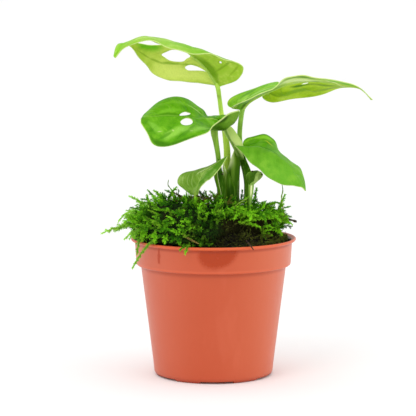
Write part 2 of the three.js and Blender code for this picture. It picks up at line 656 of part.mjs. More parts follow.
// Dead, olive moss that lies in strands over the bare peat at the front right
function dryMoss() {
  const from = THREE.MathUtils.degToRad(-100);
  const to = THREE.MathUtils.degToRad(-18);
  const rows = 3;
  const columns = 14;
  const upper = [];
  const lower = [];
  for (let i = 0; i <= rows; i += 1) {
    for (let k = 0; k <= columns; k += 1) {
      const heading = from + ((to - from) * k) / columns;
      const inner = mossReach(heading) + 2.5;
      const radius = Math.min(inner + ((SOIL_RADIUS - inner) * i) / rows, SOIL_RADIUS);
      const edge = i === 0 || i === rows || k === 0 || k === columns;
      const thickness = edge ? 0.7 : between(1.2, 3.4);
      const z = soilHeight(radius) + GAP;
      upper.push(aroundPot(heading, radius, z + thickness));
      lower.push(aroundPot(heading, radius, z));
    }
  }
  const count = upper.length;
  const at = (i, k) => i * (columns + 1) + k;
  const triangles = [];
  for (let i = 0; i < rows; i += 1) {
    for (let k = 0; k < columns; k += 1) {
      const [a, b, c, d] = [at(i, k), at(i + 1, k), at(i + 1, k + 1), at(i, k + 1)];
      triangles.push([a, b, c], [a, c, d]);
      triangles.push([count + c, count + b, count + a], [count + d, count + c, count + a]);
    }
  }
  const border = [];
  for (let k = columns; k > 0; k -= 1) border.push(at(0, k));
  for (let i = 0; i < rows; i += 1) border.push(at(i, 0));
  for (let k = 0; k < columns; k += 1) border.push(at(rows, k));
  for (let i = rows; i > 0; i -= 1) border.push(at(i, columns));
  border.forEach((a, index) => {
    const b = border[(index + 1) % border.length];
    triangles.push([b, a, a + count], [b, a + count, b + count]);
  });
  const pieces = [solidFromPoints([...upper, ...lower], triangles)];
  for (let n = 0; n < STRAND_COUNT; n += 1) {
    const heading = between(from + 0.12, to - 0.12);
    const radius = between(mossReach(heading) + 4, SOIL_RADIUS - 3);
    const root = aroundPot(heading, radius, soilHeight(radius) + 1.2);
    const swing = between(0, 2 * Math.PI);
    const direction = aroundPot(swing, 1, between(0.2, 0.8)).normalize();
    pieces.push(spike(root, direction, between(6, 11), 0.7, between(2, 5), 3));
  }
  return fuse(pieces);
}

// Twigs that lie in the moss, as stations like a stalk's

const twigRight = [
  [34, -3, 117.5, 0.9, 0.9], [43, -5, 117.2, 1, 1], [52, -8, 114.6, 0.9, 0.9], [60, -10, 112.4, 0.5, 0.5],
];
const twigFront = [
  [-29.3, -46.8, 113, 0.8, 0.8], [-20.4, -52.4, 109.5, 0.8, 0.8], [-11.6, -56.4, 104.5, 0.6, 0.6],
];

// Assembly

const blades = {
  leaf_top_left: leafTopLeft,
  leaf_mid_left: leafMidLeft,
  leaf_right: leafRight,
  leaf_lower_right: leafLowerRight,
  leaf_small: leafSmall,
  leaf_young: leafYoung,
};

const stalks = {
  petiole_tall_branched: [stalkTall, stalkBranch],
  petiole_mid_left: [stalkMidLeft],
  petiole_right: [stalkRight],
  sheath_middle: [sheathMiddle],
  petiole_small: [stalkSmall],
  petiole_young: [stalkYoung],
};

const twigs = { twig_right: twigRight, twig_front: twigFront };

// The room that blades, stalks and twigs take, with the gap that is kept all round them
const bladeSpaces = fuse(Object.values(blades)
  .flatMap((leaf) => [bladeSolid(leaf), bladeSolid(leaf, 1.5 * GAP)]));
const stalkSpaces = fuse(Object.values(stalks).flat().map((stations) => stalkSolid(stations, GAP)));
const twigSpaces = fuse(Object.values(twigs).map((stations) => stalkSolid(stations, GAP, TWIG_SIDES)));

// The room that the pot's wall and lip take, so that moss only passes over them
const rimSpace = turned([
  [55.2, 78], [BAND_TOP_RADIUS + 0.7, 78], [BAND_TOP_RADIUS + 0.8, 96.6], [LIP_RADIUS + 0.5, 97.6],
  [LIP_RADIUS + 0.6, POT_HEIGHT + 0.6], [55.2, POT_HEIGHT + 0.6], [55.2, 78],
], POT_SIDES);
const soilSpace = turned([
  [0, 60], [SOIL_RADIUS + 1.4, 60], [SOIL_RADIUS + 1.4, SOIL_RIM_Z - 0.6],
  [SOIL_RADIUS + 0.2, SOIL_RIM_Z + 0.2],
  ...domeRadii.map((radius) => [radius, soilHeight(radius) + GAP]),
  [0, SOIL_CROWN_Z + GAP],
], SOIL_SIDES);

const moss = mainBody(greenMoss()
  .subtract(rimSpace)
  .subtract(soilSpace)
  .subtract(stalkSpaces)
  .subtract(bladeSpaces)
  .subtract(twigSpaces));
const dry = mainBody(dryMoss()
  .subtract(rimSpace)
  .subtract(soilSpace)
  .subtract(stalkSpaces)
  .subtract(twigSpaces));

// Colour and roughness by the whole name of a piece, or by the first word of it
const colours = {
  pot: [0xd0644a, 0.42],
  soil: [0x2a1c10, 0.95],
  moss_green: [0x4c8a1c, 0.9],
  moss_dry: [0x6b6a2a, 0.95],
  leaf: [0x6db42f, 0.45],
  petiole: [0x8fc04a, 0.5],
  sheath: [0x8fc04a, 0.5],
  twig: [0x5b3d24, 0.85],
};

const plant = new THREE.Group();

function addPiece(name, solid) {
  const [color, roughness] = colours[name] ?? colours[name.split('_')[0]];
  const material = new THREE.MeshStandardMaterial({ color, roughness, metalness: 0, flatShading: true });
  const piece = new THREE.Mesh(geometryFromSolid(solid), material);
  piece.name = name;
  plant.add(piece);
}

addPiece('pot', potSolid());
addPiece('soil', soilSolid().subtract(stalkSpaces).subtract(twigSpaces));
addPiece('moss_green', moss);
addPiece('moss_dry', mainBody(dry.subtract(moss)));
for (const [name, stations] of Object.entries(twigs)) {
  addPiece(name, stalkSolid(stations, 0, TWIG_SIDES));
}
for (const [name, parts] of Object.entries(stalks)) {
  const whole = fuse(parts.map((stations) => stalkSolid(stations)));
  addPiece(name, mainBody(whole.subtract(bladeSpaces)));
}
for (const [name, leaf] of Object.entries(blades)) addPiece(name, leafBlade(leaf));

export default plant;
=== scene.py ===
# %% [markdown]
# # A potted swiss cheese vine
# The plant is a young aroid with arched, naturally holed leaves on slim petioles. It grows in a
# root ball that is covered with feathery moss, in a terracotta coloured plastic nursery pot.
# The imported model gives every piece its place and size, so all of it is loaded first. Each piece
# of the model is then replaced by a finer one that keeps its form.

# %% The frame
import math
import random

import bmesh
import bpy
from mathutils import Matrix, Vector, noise


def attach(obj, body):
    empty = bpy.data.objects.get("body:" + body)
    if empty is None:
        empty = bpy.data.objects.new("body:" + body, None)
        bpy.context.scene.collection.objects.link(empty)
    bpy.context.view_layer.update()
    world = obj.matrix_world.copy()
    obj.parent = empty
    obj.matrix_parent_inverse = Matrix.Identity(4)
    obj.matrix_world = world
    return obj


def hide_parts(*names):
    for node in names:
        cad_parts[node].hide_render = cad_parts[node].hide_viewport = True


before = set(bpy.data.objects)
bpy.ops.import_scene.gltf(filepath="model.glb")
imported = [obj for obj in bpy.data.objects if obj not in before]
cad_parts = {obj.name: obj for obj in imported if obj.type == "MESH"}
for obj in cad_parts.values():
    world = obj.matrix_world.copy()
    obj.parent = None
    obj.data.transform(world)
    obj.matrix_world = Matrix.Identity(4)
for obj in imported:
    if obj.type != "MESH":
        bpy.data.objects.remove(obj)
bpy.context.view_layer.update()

scene = bpy.context.scene

# %% [markdown]
# Sizes on a plant are easiest to read in millimetres, while Blender's frame is in metres. One
# factor turns the first into the second. All tables of places and sizes are in millimetres, and
# only a finish counts in metres, as its shader does. What grows by chance takes its numbers from
# one seeded source, so that each run gives the same plant.

# %% Units and chance
MM = 0.001
chance = random.Random(41)

# %% [markdown]
# ## Camera and studio
# The photograph was taken from a little above the plant, from about a metre and a half away, on
# a white sweep. A white world lights the plant evenly from all sides, and two large soft lamps
# give it form: the stronger one from the front left, a weaker one from the right.

# %% Camera
CAMERA_PLACE = Vector((-0.004, -1.42, 0.284))
CAMERA_AIM_Z = 0.1216
CAMERA_LENS = 170.13

eye = bpy.data.cameras.new("camera")
eye.lens = CAMERA_LENS
eye.sensor_width = 36
camera = bpy.data.objects.new("camera", eye)
drop = math.atan2(CAMERA_PLACE.z - CAMERA_AIM_Z, -CAMERA_PLACE.y)
camera.location = CAMERA_PLACE
camera.rotation_euler = (math.pi / 2 - drop, 0, 0)
scene.collection.objects.link(camera)
scene.camera = camera
print("The camera looks down by", round(math.degrees(drop), 2), "degrees")

# %% Studio light
LAMP_AIM = Vector((0, 0, 0.14))

scene.view_settings.view_transform = "Standard"
world = bpy.data.worlds.new("studio")
scene.world = world
world.use_nodes = True
sky = world.node_tree.nodes["Background"]
sky.inputs["Color"].default_value = (1, 1, 1, 1)
sky.inputs["Strength"].default_value = 1.04


def soft_lamp(name, place, size, power):
    """A square lamp that points at the middle of the plant."""
    light = bpy.data.lights.new(name, "AREA")
    light.size = size
    light.energy = power
    lamp = bpy.data.objects.new(name, light)
    lamp.location = place
    lamp.rotation_euler = (LAMP_AIM - Vector(place)).to_track_quat("-Z", "Y").to_euler()
    scene.collection.objects.link(lamp)


soft_lamp("key_lamp", (-0.55, -0.9, 1.2), 0.7, 4)
soft_lamp("fill_lamp", (1.1, -0.7, 0.6), 0.9, 1.5)

# %% [markdown]
# ## Shader arithmetic
# A pattern is easier to read as a sum than as a web of nodes. The class below wraps a socket,
# and each operator on it adds the Math node that works it out.


# %% A socket that can be reckoned with
class Value:
    """A shader socket on which Python's operators add Math nodes."""

    def __init__(self, finish, socket):
        self.finish = finish
        self.socket = socket

    def math(self, operation, *operands):
        inputs = dict(enumerate(operands))
        return self.finish.node("ShaderNodeMath", {"operation": operation}, inputs).out()

    def __add__(self, other):
        return self.math("ADD", self, other)

    def __sub__(self, other):
        return self.math("SUBTRACT", self, other)

    def __rsub__(self, other):
        return self.math("SUBTRACT", other, self)

    def __mul__(self, other):
        return self.math("MULTIPLY", self, other)

    def __truediv__(self, other):
        return self.math("DIVIDE", self, other)

    def __pow__(self, other):
        return self.math("POWER", self, other)

    def __abs__(self):
        return self.math("ABSOLUTE", self)

    def fraction(self):
        return self.math("FRACT", self)

    def larger(self, other):
        return self.math("MAXIMUM", self, other)

    __radd__ = __add__
    __rmul__ = __mul__


# %% [markdown]
# A finish is one material under construction. Its colour is painted like a wall: a base comes
# first, and each layer is laid over it through a mask that runs from 0 to 1. Colours are written
# as they were read off, in 0 to 255, and turned into linear light when they reach a socket.


# %% A material under construction
def linear(channel):
    share = channel / 255
    return share / 12.92 if share <= 0.04045 else ((share + 0.055) / 1.055) ** 2.4


class Finish:
    """One material: its node tree, and short ways to add to it."""

    def __init__(self, name, **constants):
        self.material = bpy.data.materials.new(name)
        self.material.use_nodes = True
        self.tree = self.material.node_tree
        self.shader = self.tree.nodes["Principled BSDF"]
        self.base = None
        self.give(**constants)

    def node(self, kind, settings=None, inputs=None):
        made = self.tree.nodes.new(kind)
        for setting, value in (settings or {}).items():
            setattr(made, setting, value)
        for socket, value in (inputs or {}).items():
            self.feed(made.inputs[socket], value)
        return Made(self, made)

    def feed(self, socket, value):
        if isinstance(value, Value):
            self.tree.links.new(value.socket, socket)
        elif socket.type == "RGBA" and len(value) == 3:
            socket.default_value = (*map(linear, value), 1)
        else:
            socket.default_value = value

    def give(self, **inputs):
        for socket, value in inputs.items():
            self.feed(self.shader.inputs[socket.replace("_", " ")], value)

    def place(self):
        return self.node("ShaderNodeTexCoord").out("Object")

    def sheet_uv(self):
        return self.node("ShaderNodeUVMap", {"uv_map": "UVMap"}).out()

    def split(self, vector):
        parts = self.node("ShaderNodeSeparateXYZ", inputs={0: vector})
        return parts.out("X"), parts.out("Y"), parts.out("Z")

    def stretched(self, vector, factors):
        return self.node("ShaderNodeMapping", inputs={"Vector": vector, "Scale": factors}).out()

    def noise(self, vector, scale, detail=2.0, roughness=0.5):
        inputs = {"Vector": vector, "Scale": scale, "Detail": detail, "Roughness": roughness}
        return self.node("ShaderNodeTexNoise", inputs=inputs).out()

    def cells(self, vector, scale):
        settings = {"feature": "DISTANCE_TO_EDGE"}
        inputs = {"Vector": vector, "Scale": scale}
        return self.node("ShaderNodeTexVoronoi", settings, inputs).out("Distance")

    def smooth(self, value, low, high):
        """Runs softly from 0 at low to 1 at high."""
        inputs = {"Value": value, "From Min": low, "From Max": high}
        return self.node("ShaderNodeMapRange", {"interpolation_type": "SMOOTHSTEP"}, inputs).out()

    def fading(self, value, low, high):
        """Runs softly from 1 at low to 0 at high."""
        return 1 - self.smooth(value, low, high)

    def band(self, value, start, risen, falling, end):
        """Is 1 between risen and falling, with soft ends."""
        return self.smooth(value, start, risen) * self.fading(value, falling, end)

    def mix(self, factor, first, second):
        inputs = {0: factor, 6: first, 7: second}
        return self.node("ShaderNodeMix", {"data_type": "RGBA"}, inputs).out(2)

    def paint(self, mask, rgb):
        """Lays a colour over the base where the mask is 1."""
        self.base = self.mix(mask, self.base, rgb)

    def attribute(self, name):
        return self.node("ShaderNodeAttribute", {"attribute_name": name}).out("Fac")

    def finished(self, height, distance, strength, **inputs):
        """Gives the shader the painted colour and a bump, and hands the material over."""
        bump = {"Height": height, "Distance": distance, "Strength": strength}
        normal = self.node("ShaderNodeBump", inputs=bump).out()
        self.give(Base_Color=self.base, Normal=normal, **inputs)
        return self.material


class Made:
    """A node that was just added, with its outputs as values."""

    def __init__(self, finish, made):
        self.finish = finish
        self.made = made

    def out(self, name=0):
        return Value(self.finish, self.made.outputs[name])


# %% [markdown]
# ## From bmesh to piece
# Every piece ends the same way: its bmesh becomes an object at the origin, which rides on the
# plant's one body and takes the place of a part of the model. Edges sharper than a set angle are
# marked, so that a lip stays crisp while a stalk stays smooth.


# %% Making a piece
def mark_edges(bm, sharp_degrees):
    for face in bm.faces:
        face.smooth = True
    for edge in bm.edges:
        if edge.is_manifold:
            edge.smooth = edge.calc_face_angle(0) < math.radians(sharp_degrees)


def mesh_from(bm, name):
    mesh = bpy.data.meshes.new(name)
    bm.to_mesh(mesh)
    bm.free()
    return mesh


def object_from(bm, name, materials=()):
    mesh = mesh_from(bm, name)
    for material in materials:
        mesh.materials.append(material)
    made = bpy.data.objects.new(name, mesh)
    scene.collection.objects.link(made)
    return made


def make_piece(bm, name, materials, nodes=(), sharp_degrees=40):
    """Turns a bmesh into a finished object of the plant."""
    mark_edges(bm, sharp_degrees)
    piece = object_from(bm, name, materials)
    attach(piece, "root")
    if nodes:
        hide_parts(*nodes)
    triangles = sum(len(face.vertices) - 2 for face in piece.data.polygons)
    print(f"{name}: {triangles} triangles")
    return piece


def through(points, share):
    """The point at a share from 0 to 1 of a smooth curve through all the points."""
    last = len(points) - 1
    place = min(max(share, 0), 1) * last
    start = min(int(place), last - 1)
    rest = place - start
    here, there = Vector(points[start]), Vector(points[start + 1])
    before = Vector(points[start - 1]) if start > 0 else 2 * here - there
    after = Vector(points[start + 2]) if start + 2 <= last else 2 * there - here
    leave, arrive = (there - before) / 2, (after - here) / 2
    bend = 3 * (there - here) - 2 * leave - arrive
    twist = 2 * (here - there) + leave + arrive
    return here + rest * (leave + rest * (bend + rest * twist))


# %% [markdown]
# ## The pot
# A nursery pot is one thin moulding: a rolled lip, a straight band, a tapered body and a foot
# with a ring and a raised pad. Its plastic is milky, with a stain and a drip mark where water ran
# over the lip. Painted highlights lie on the lip, on the foot of the band, along its edges and on
# its right side, and painted shade lies under the lip and the band, on the foot and inside the
# wall. The heights below are in metres, as a shader reads them.


# %% The pot's plastic
def pot_plastic():
    finish = Finish("pot_plastic", Roughness=0.34, IOR=1.46, Specular_IOR_Level=0.35)
    place = finish.place()
    x, y, z = finish.split(place)
    finish.base = finish.mix(finish.noise(place, 22, 3), (190, 80, 46), (196, 86, 52))
    cloud = finish.noise(finish.stretched(place, (60, 60, 18)), 1.0, 4, 0.6)
    finish.paint(finish.smooth(cloud, 0.5, 0.75) * 0.35, (204, 98, 66))
    # Painted reflection makes it paler where it is seen edge on, and painted light makes it paler
    # still on the right
    finish.paint(finish.smooth(abs(x - 0.008), 0.014, 0.06) * 0.42, (210, 116, 90))
    finish.paint(finish.smooth(x, 0.0, 0.05) * 0.4, (226, 122, 84))
    # A half round patch on the front of the band, where the water stained it
    front = finish.smooth(y, -0.02, -0.03)
    aside = abs(x - 0.0008 - (z - 0.0855) * 0.2) / 0.015
    below = abs(z - 0.099) / 0.0149
    round_off = aside ** 2.3 + below ** 2.3 + finish.noise(place, 900, 3) * 0.4
    on_band = finish.band(z, 0.0822, 0.0834, 0.0978, 0.0984)
    patch = finish.fading(round_off, 0.7, 1.4) * on_band * front
    finish.paint(patch * 0.95, (170, 54, 0))
    # Painted highlights on the lip and the foot of the band, with a line of painted shade below
    # each
    finish.paint(finish.band(z, 0.0952, 0.097, 0.0976, 0.098) * 0.5, (150, 46, 16))
    finish.paint(finish.smooth(z, 0.0977, 0.0982) * 0.8, (220, 98, 54))
    finish.paint(finish.band(z, 0.0811, 0.0817, 0.0824, 0.0834) * 0.3, (222, 104, 68))
    finish.paint(finish.band(z, 0.077, 0.0796, 0.0802, 0.0806) * 0.4, (154, 58, 32))
    # A narrow drip mark left of the patch
    wander = (finish.noise(place, 190, 2) - 0.5) * 0.004
    drip = finish.fading(abs(x + 0.0388 + wander), 0.0004, 0.0014)
    drip = drip * finish.band(z, 0.0858, 0.0874, 0.0972, 0.0982) * front
    finish.paint(drip * 0.85, (172, 56, 14))
    # Dried specks of peat near the lip, and painted shade on the foot, which is also duller
    specks = finish.smooth(finish.noise(place, 900, 2, 0.7), 0.69, 0.74)
    finish.paint(specks * finish.smooth(z, 0.05, 0.1) * 0.5, (150, 70, 45))
    foot = finish.fading(z, 0.0006, 0.004)
    finish.paint(foot * 0.45, (150, 50, 34))
    # Painted shade darkens the inside of the wall up to the lip
    leaning = (x * x + y * y) ** 0.5 - z * 0.0608
    inner_wall_shade = finish.fading(leaning, 0.0504, 0.0512) * finish.smooth(z, 0.083, 0.086)
    finish.paint(inner_wall_shade * 0.8, (84, 34, 16))
    roughness = 0.3 + finish.noise(place, 160, 3) * 0.14 - patch * 0.12 + foot * 0.1
    ripple = finish.noise(finish.stretched(place, (90, 90, 14)), 1.0, 3)
    grain = finish.noise(place, 2600, 2)
    return finish.finished(ripple * 0.8 + grain * 0.1, 0.0005, 0.35, Roughness=roughness)


# %% [markdown]
# A turned shape like the pot is drawn once as half a section and spun round the axis. The drain
# holes and the slots under the foot are cut afterwards with a boolean, because they don't follow
# the turn.


# %% The pot's shape
POT_HEIGHT = 100.4
LIP_RADIUS = 60
BAND_TOP_RADIUS = 57.2
BAND_FOOT_RADIUS = 56.3
BODY_TOP_RADIUS = 52.8
BODY_FOOT_RADIUS = 43.4
WALL = 1.3
FLOOR_TOP = 4.6
FOOT_RECESS = 2.6
PAD_RADIUS = 12


def pot_section():
    """Half the section in millimetres, from the axis under the foot round to the axis inside."""
    band_inner = BAND_TOP_RADIUS - WALL
    return [
        (0, 0), (PAD_RADIUS, 0), (PAD_RADIUS + 1, FOOT_RECESS), (36, FOOT_RECESS), (37.4, 0),
        (41, 0), (42.4, 0.8), (BODY_FOOT_RADIUS - 0.1, 2.4), (BODY_FOOT_RADIUS + 0.2, 4.6),
        (BODY_FOOT_RADIUS + 0.6, 9), (BODY_TOP_RADIUS, 79.4), (BODY_TOP_RADIUS + 0.5, 80.4),
        (BAND_FOOT_RADIUS - 0.9, 80.7), (BAND_FOOT_RADIUS - 0.2, 81.3), (BAND_FOOT_RADIUS, 82.4),
        (BAND_TOP_RADIUS, 97.2), (BAND_TOP_RADIUS + 0.5, 98), (LIP_RADIUS - 0.6, 98.4),
        (LIP_RADIUS, 99.1), (LIP_RADIUS - 0.1, 99.9), (LIP_RADIUS - 0.7, POT_HEIGHT),
        (LIP_RADIUS - 1.6, POT_HEIGHT - 0.2), (band_inner + 0.8, 99.2), (band_inner, 97.6),
        (BAND_FOOT_RADIUS - WALL, 83.4), (BAND_FOOT_RADIUS - WALL - 0.6, 82.3),
        (BODY_TOP_RADIUS - WALL + 0.3, 81.6), (BODY_TOP_RADIUS - WALL, 80),
        (BODY_FOOT_RADIUS - WALL + 0.5, 7), (BODY_FOOT_RADIUS - WALL - 0.6, FLOOR_TOP),
        (0, FLOOR_TOP),
    ]


def spin_line(points, steps):
    """Spins a line of points round the pot's axis and welds the seam."""
    bm = bmesh.new()
    corners = [bm.verts.new(point) for point in points]
    sides = [bm.edges.new(pair) for pair in zip(corners, corners[1:])]
    bmesh.ops.spin(bm, geom=corners + sides, cent=(0, 0, 0), axis=(0, 0, 1), dvec=(0, 0, 0),
                   angle=2 * math.pi, steps=steps, use_merge=True, use_duplicate=False)
    bmesh.ops.remove_doubles(bm, verts=bm.verts, dist=1e-6)
    return bm


def spun(section, steps):
    """Spins a section into a closed skin."""
    bm = spin_line([(radius * MM, 0, z * MM) for radius, z in section], steps)
    bmesh.ops.recalc_face_normals(bm, faces=bm.faces)
    return bm


def pot_openings(drains=8, slots=6):
    """All that is cut out of the pot, in one mesh: drain holes in the floor, slots at the foot."""
    bm = bmesh.new()
    for k in range(drains):
        turn = Matrix.Rotation(2 * math.pi * (k + 0.5) / drains, 4, "Z")
        place = turn @ Matrix.Translation((27 * MM, 0, FLOOR_TOP / 2 * MM))
        bmesh.ops.create_cone(bm, cap_ends=True, segments=24, radius1=3.2 * MM, radius2=3.2 * MM,
                              depth=2 * FLOOR_TOP * MM, matrix=place)
    for k in range(slots):
        turn = Matrix.Rotation(-math.pi / 2 + 0.06 + 2 * math.pi * k / slots, 4, "Z")
        size = Matrix.Diagonal((14 * MM, 24 * MM, 3 * MM, 1))
        place = turn @ Matrix.Translation((42 * MM, 0, 0)) @ size
        bmesh.ops.create_cube(bm, size=1, matrix=place)
    return object_from(bm, "openings")


def cut_away(piece, cutter, sharp_degrees):
    """Cuts one object out of another for good, deletes the cutter and marks the new edges."""
    knife = piece.modifiers.new("cut", "BOOLEAN")
    knife.object = cutter
    knife.operation = "DIFFERENCE"
    knife.solver = "EXACT"
    graph = bpy.context.evaluated_depsgraph_get()
    carved = bpy.data.meshes.new_from_object(piece.evaluated_get(graph))
    piece.modifiers.clear()
    piece.data = carved
    bpy.data.objects.remove(cutter)
    bm = bmesh.new()
    bm.from_mesh(carved)
    mark_edges(bm, sharp_degrees)
    bm.to_mesh(carved)
    bm.free()


plastic = pot_plastic()
pot = make_piece(spun(pot_section(), steps=160), "pot_moulding", [plastic], ["pot"])
cut_away(pot, pot_openings(), 38)

# %% [markdown]
# ## The root ball
# Under the moss the pot is full of dark, moist peat that domes above the rim. Only the front
# right of it is bare. The dome is spun like the pot, and a noise field then roughens it, because
# a smooth one would look poured in.


# %% Peat
SOIL_RADIUS = 54
SOIL_RIM_Z = 96
SOIL_CROWN_Z = 113


def peat():
    finish = Finish("peat", Roughness=0.95, Specular_IOR_Level=0.2)
    place = finish.place()
    grain = finish.noise(place, 520, 5, 0.65)
    finish.base = finish.mix(finish.smooth(grain, 0.35, 0.7), (12, 9, 4), (42, 33, 16))
    finish.paint(finish.smooth(finish.noise(place, 170, 3), 0.5, 0.65) * 0.5, (50, 52, 16))
    return finish.finished(grain + finish.cells(place, 330) * 40, 0.0012, 0.8)


def soil_height(radius):
    share = min(radius / SOIL_RADIUS, 1)
    return SOIL_CROWN_Z - (SOIL_CROWN_Z - SOIL_RIM_Z) * share * share * (1.6 - 0.6 * share)


def around_pot(heading, radius, z):
    return Vector((math.cos(heading) * radius, math.sin(heading) * radius, z))


def root_ball():
    inner = BODY_TOP_RADIUS - WALL - 0.3
    base = BODY_FOOT_RADIUS - WALL - 0.3
    section = [(0, FLOOR_TOP + 0.3), (base - 0.7, FLOOR_TOP + 0.3), (base + 0.3, 7),
               (inner - 0.1, 79.8), (inner + 0.3, 82.4), (SOIL_RADIUS + 0.1, 84),
               (SOIL_RADIUS + 0.6, SOIL_RIM_Z - 1)]
    rings = 30
    for ring in range(rings + 1):
        radius = (SOIL_RADIUS - 0.5) * (1 - ring / rings)
        section.append((radius, soil_height(radius)))
    bm = spun(section, steps=120)
    for vert in bm.verts:
        if vert.co.z > (SOIL_RIM_Z - 0.6) * MM:
            vert.co.z += noise.fractal(vert.co * 260, 1.0, 2.0, 4) * 0.9 * MM
    return bm


peat_finish = peat()
make_piece(root_ball(), "root_ball", [peat_finish], ["soil"], 80)

# %% [markdown]
# ## The moss
# The cushion is made of hundreds of sprigs. Each one is a thin stem with short side sprigs, all
# clothed in tiny pointed leaves, so that from a step away it looks like a furry rope. One leaf is
# only three triangles. A dozen different sprigs are grown once and then set all over a dark core,
# each copy turned, tilted and scaled by chance, because hundreds of separate sprigs would only
# cost time. The core keeps light from shining through the cushion.
# Each leaf stores how far out it is as "tip" and each sprig a random "tone", and the finish mixes
# its greens by both.


# %% Moss colours
def living_moss(name, dark, middle, bright):
    finish = Finish(name, Roughness=0.8, Specular_IOR_Level=0.12)
    place = finish.place()
    x, y, z = finish.split(place)
    tip, tone = finish.attribute("tip"), finish.attribute("tone")
    finish.base = finish.mix(finish.smooth(tip, 0.0, 0.45), dark, middle)
    drift = finish.noise(place, 90, 3)
    finish.paint(finish.smooth(tip * 0.9 + tone * 0.75 + drift * 0.4, 0.78, 1.3), bright)
    withered = finish.smooth(finish.noise(place, 60, 2) + tone * 0.12, 0.62, 0.74)
    finish.paint(withered * 0.45, (112, 104, 44))
    # Painted shade darkens the moss in the hollow beside the bare spot
    off = ((x - 0.002) / 0.024) ** 2 + ((y + 0.047) / 0.02) ** 2 + ((z - 0.108) / 0.014) ** 2
    finish.paint(finish.fading(off, 0.3, 1.5) * 0.72, dark)
    # The sprigs at both ends stand free and let light through
    finish.paint(finish.smooth(abs(x + 0.004), 0.028, 0.06) * 0.4, bright)
    return finish.finished(finish.noise(place, 2400, 2), 0.0002, 0.4)


def moss_shade():
    finish = Finish("moss_shade", Roughness=0.95, Specular_IOR_Level=0.1)
    place = finish.place()
    x, y, _ = finish.split(place)
    speckle = finish.noise(place, 600, 4, 0.7)
    finish.base = finish.mix(finish.smooth(speckle, 0.4, 0.62), (10, 20, 4), (34, 66, 10))
    finish.paint(finish.smooth(finish.noise(place, 120, 2), 0.55, 0.7) * 0.6, (44, 34, 14))
    # Where it faces the bare spot it is peat and dead stems
    earthy = finish.smooth(x, 0.0, 0.012) * finish.smooth(y, -0.006, -0.014)
    finish.paint(earthy * 0.85, finish.mix(speckle, (14, 12, 4), (52, 48, 18)))
    return finish.finished(speckle, 0.0015, 0.8)


# %% [markdown]
# The cushion is a dome whose reach and height change with the heading: it stands high at the
# left, stops short of the rim at the right and leaves the peat bare at the front right. Its core
# starts as a flat disc, which is spun from a line and then lifted onto that form.

# %% The cushion's form
MOSS_THICKNESS = 13
MOSS_RADIUS = 57
MOSS_SEAT_Z = POT_HEIGHT + 0.7
BARE_HEADING = math.radians(-58)
BARE_SPREAD = 0.62
BARE_DEPTH = 25


def angle_from(heading, other):
    """How far one heading turns from another, between -pi and pi."""
    return math.atan2(math.sin(heading - other), math.cos(heading - other))


def moss_reach(heading):
    turn = angle_from(heading, BARE_HEADING)
    return MOSS_RADIUS - BARE_DEPTH * math.exp(-((turn / BARE_SPREAD) ** 4))


def moss_floor(radius):
    on_peat = soil_height(radius) + 0.3
    return max(on_peat, MOSS_SEAT_Z) if radius > SOIL_RADIUS - 1.5 else on_peat


def bell(value, middle, width):
    """A soft bump that is 1 at its middle."""
    return math.exp(-(((value - middle) / width) ** 2))


def moss_surface(heading, share, sink=0.0):
    """A point of the cushion's skin, from its crown at share 0 to its brim at share 1."""
    left, right = angle_from(heading, math.pi), angle_from(heading, 0)
    reach = moss_reach(heading) - 8 * bell(right, 0, 0.8)
    radius = reach * math.sin(share * math.pi / 2) ** 0.9
    lift = (MOSS_THICKNESS + 4 * share) * math.sqrt(max(1 - share ** 6, 0))
    lift += 10 * bell(left, 0.1, 1.0) * bell(share, 0.5, 0.26)
    lift += (4 * bell(left, 0.9, 0.8) * bell(share, 0.32, 0.25)
             + 3 * bell(right, 0, 0.7) * bell(share, 0.6, 0.25))
    return around_pot(heading, radius, moss_floor(radius) + max(lift - sink, 0.6)) * MM


def moss_core():
    """A lumpy, dark dome a little below the tips of the sprigs."""
    rings = 22
    bm = spin_line([(ring / rings, 0, 0) for ring in range(rings + 1)], 96)
    for vert in bm.verts:
        heading = math.atan2(vert.co.y, vert.co.x)
        share = min(math.hypot(vert.co.x, vert.co.y), 1)
        vert.co = moss_surface(heading, share, 3.5)
        vert.co.z += noise.fractal(vert.co * 170, 1.0, 2.0, 3) * 2.2 * MM * (1 - share ** 8)
    brim = [edge for edge in bm.edges if edge.is_boundary]
    made = bmesh.ops.extrude_edge_only(bm, edges=brim)["geom"]
    low = [part for part in made if isinstance(part, bmesh.types.BMVert)]
    bmesh.ops.scale(bm, vec=(0.93, 0.93, 1), verts=low)
    bmesh.ops.translate(bm, vec=(0, 0, -1.2 * MM), verts=low)
    bmesh.ops.holes_fill(bm, edges=[edge for edge in bm.edges if edge.is_boundary], sides=0)
    bmesh.ops.recalc_face_normals(bm, faces=bm.faces)
    return bm


# %% One sprig
def set_cone(bm, start, heading, length, wide, narrow, closed):
    """A three sided cone from a start along a heading; its vertices are handed back."""
    place = Matrix.Translation(start + heading * length / 2)
    place = place @ heading.to_track_quat("Z", "Y").to_matrix().to_4x4()
    return bmesh.ops.create_cone(bm, cap_ends=closed, segments=3, radius1=wide, radius2=narrow,
                                 depth=length, matrix=place)["verts"]


def clothe(bm, tip, start, heading, length, leaf, glow_low):
    """Sets small pointed leaves all round a straight stem, three at each station."""
    leaf_length, leaf_width = leaf
    stations = max(int(length / 0.6), 3)
    side = heading.orthogonal().normalized()
    for station in range(stations):
        share = (station + 0.5) / stations
        foot = start + heading * length * share
        glow = glow_low + (1.0 - glow_low) * share
        for k in range(3):
            out = Matrix.Rotation(2 * math.pi * k / 3 + station * 2.4, 3, heading) @ side
            lean = (out * 0.9 + heading * chance.uniform(0.4, 1.0)).normalized()
            size = leaf_length * (1 - 0.45 * share) * chance.uniform(0.7, 1.3)
            for vert in set_cone(bm, foot, lean, size, leaf_width, 0, False):
                outer = (vert.co - foot).dot(lean) > size * 0.5
                vert[tip] = glow * 0.5 + (0.5 if outer else 0.0)


def set_stem(bm, tip, start, heading, length, radius):
    for vert in set_cone(bm, start, heading, length, radius, radius * 0.4, True):
        vert[tip] = 0.15


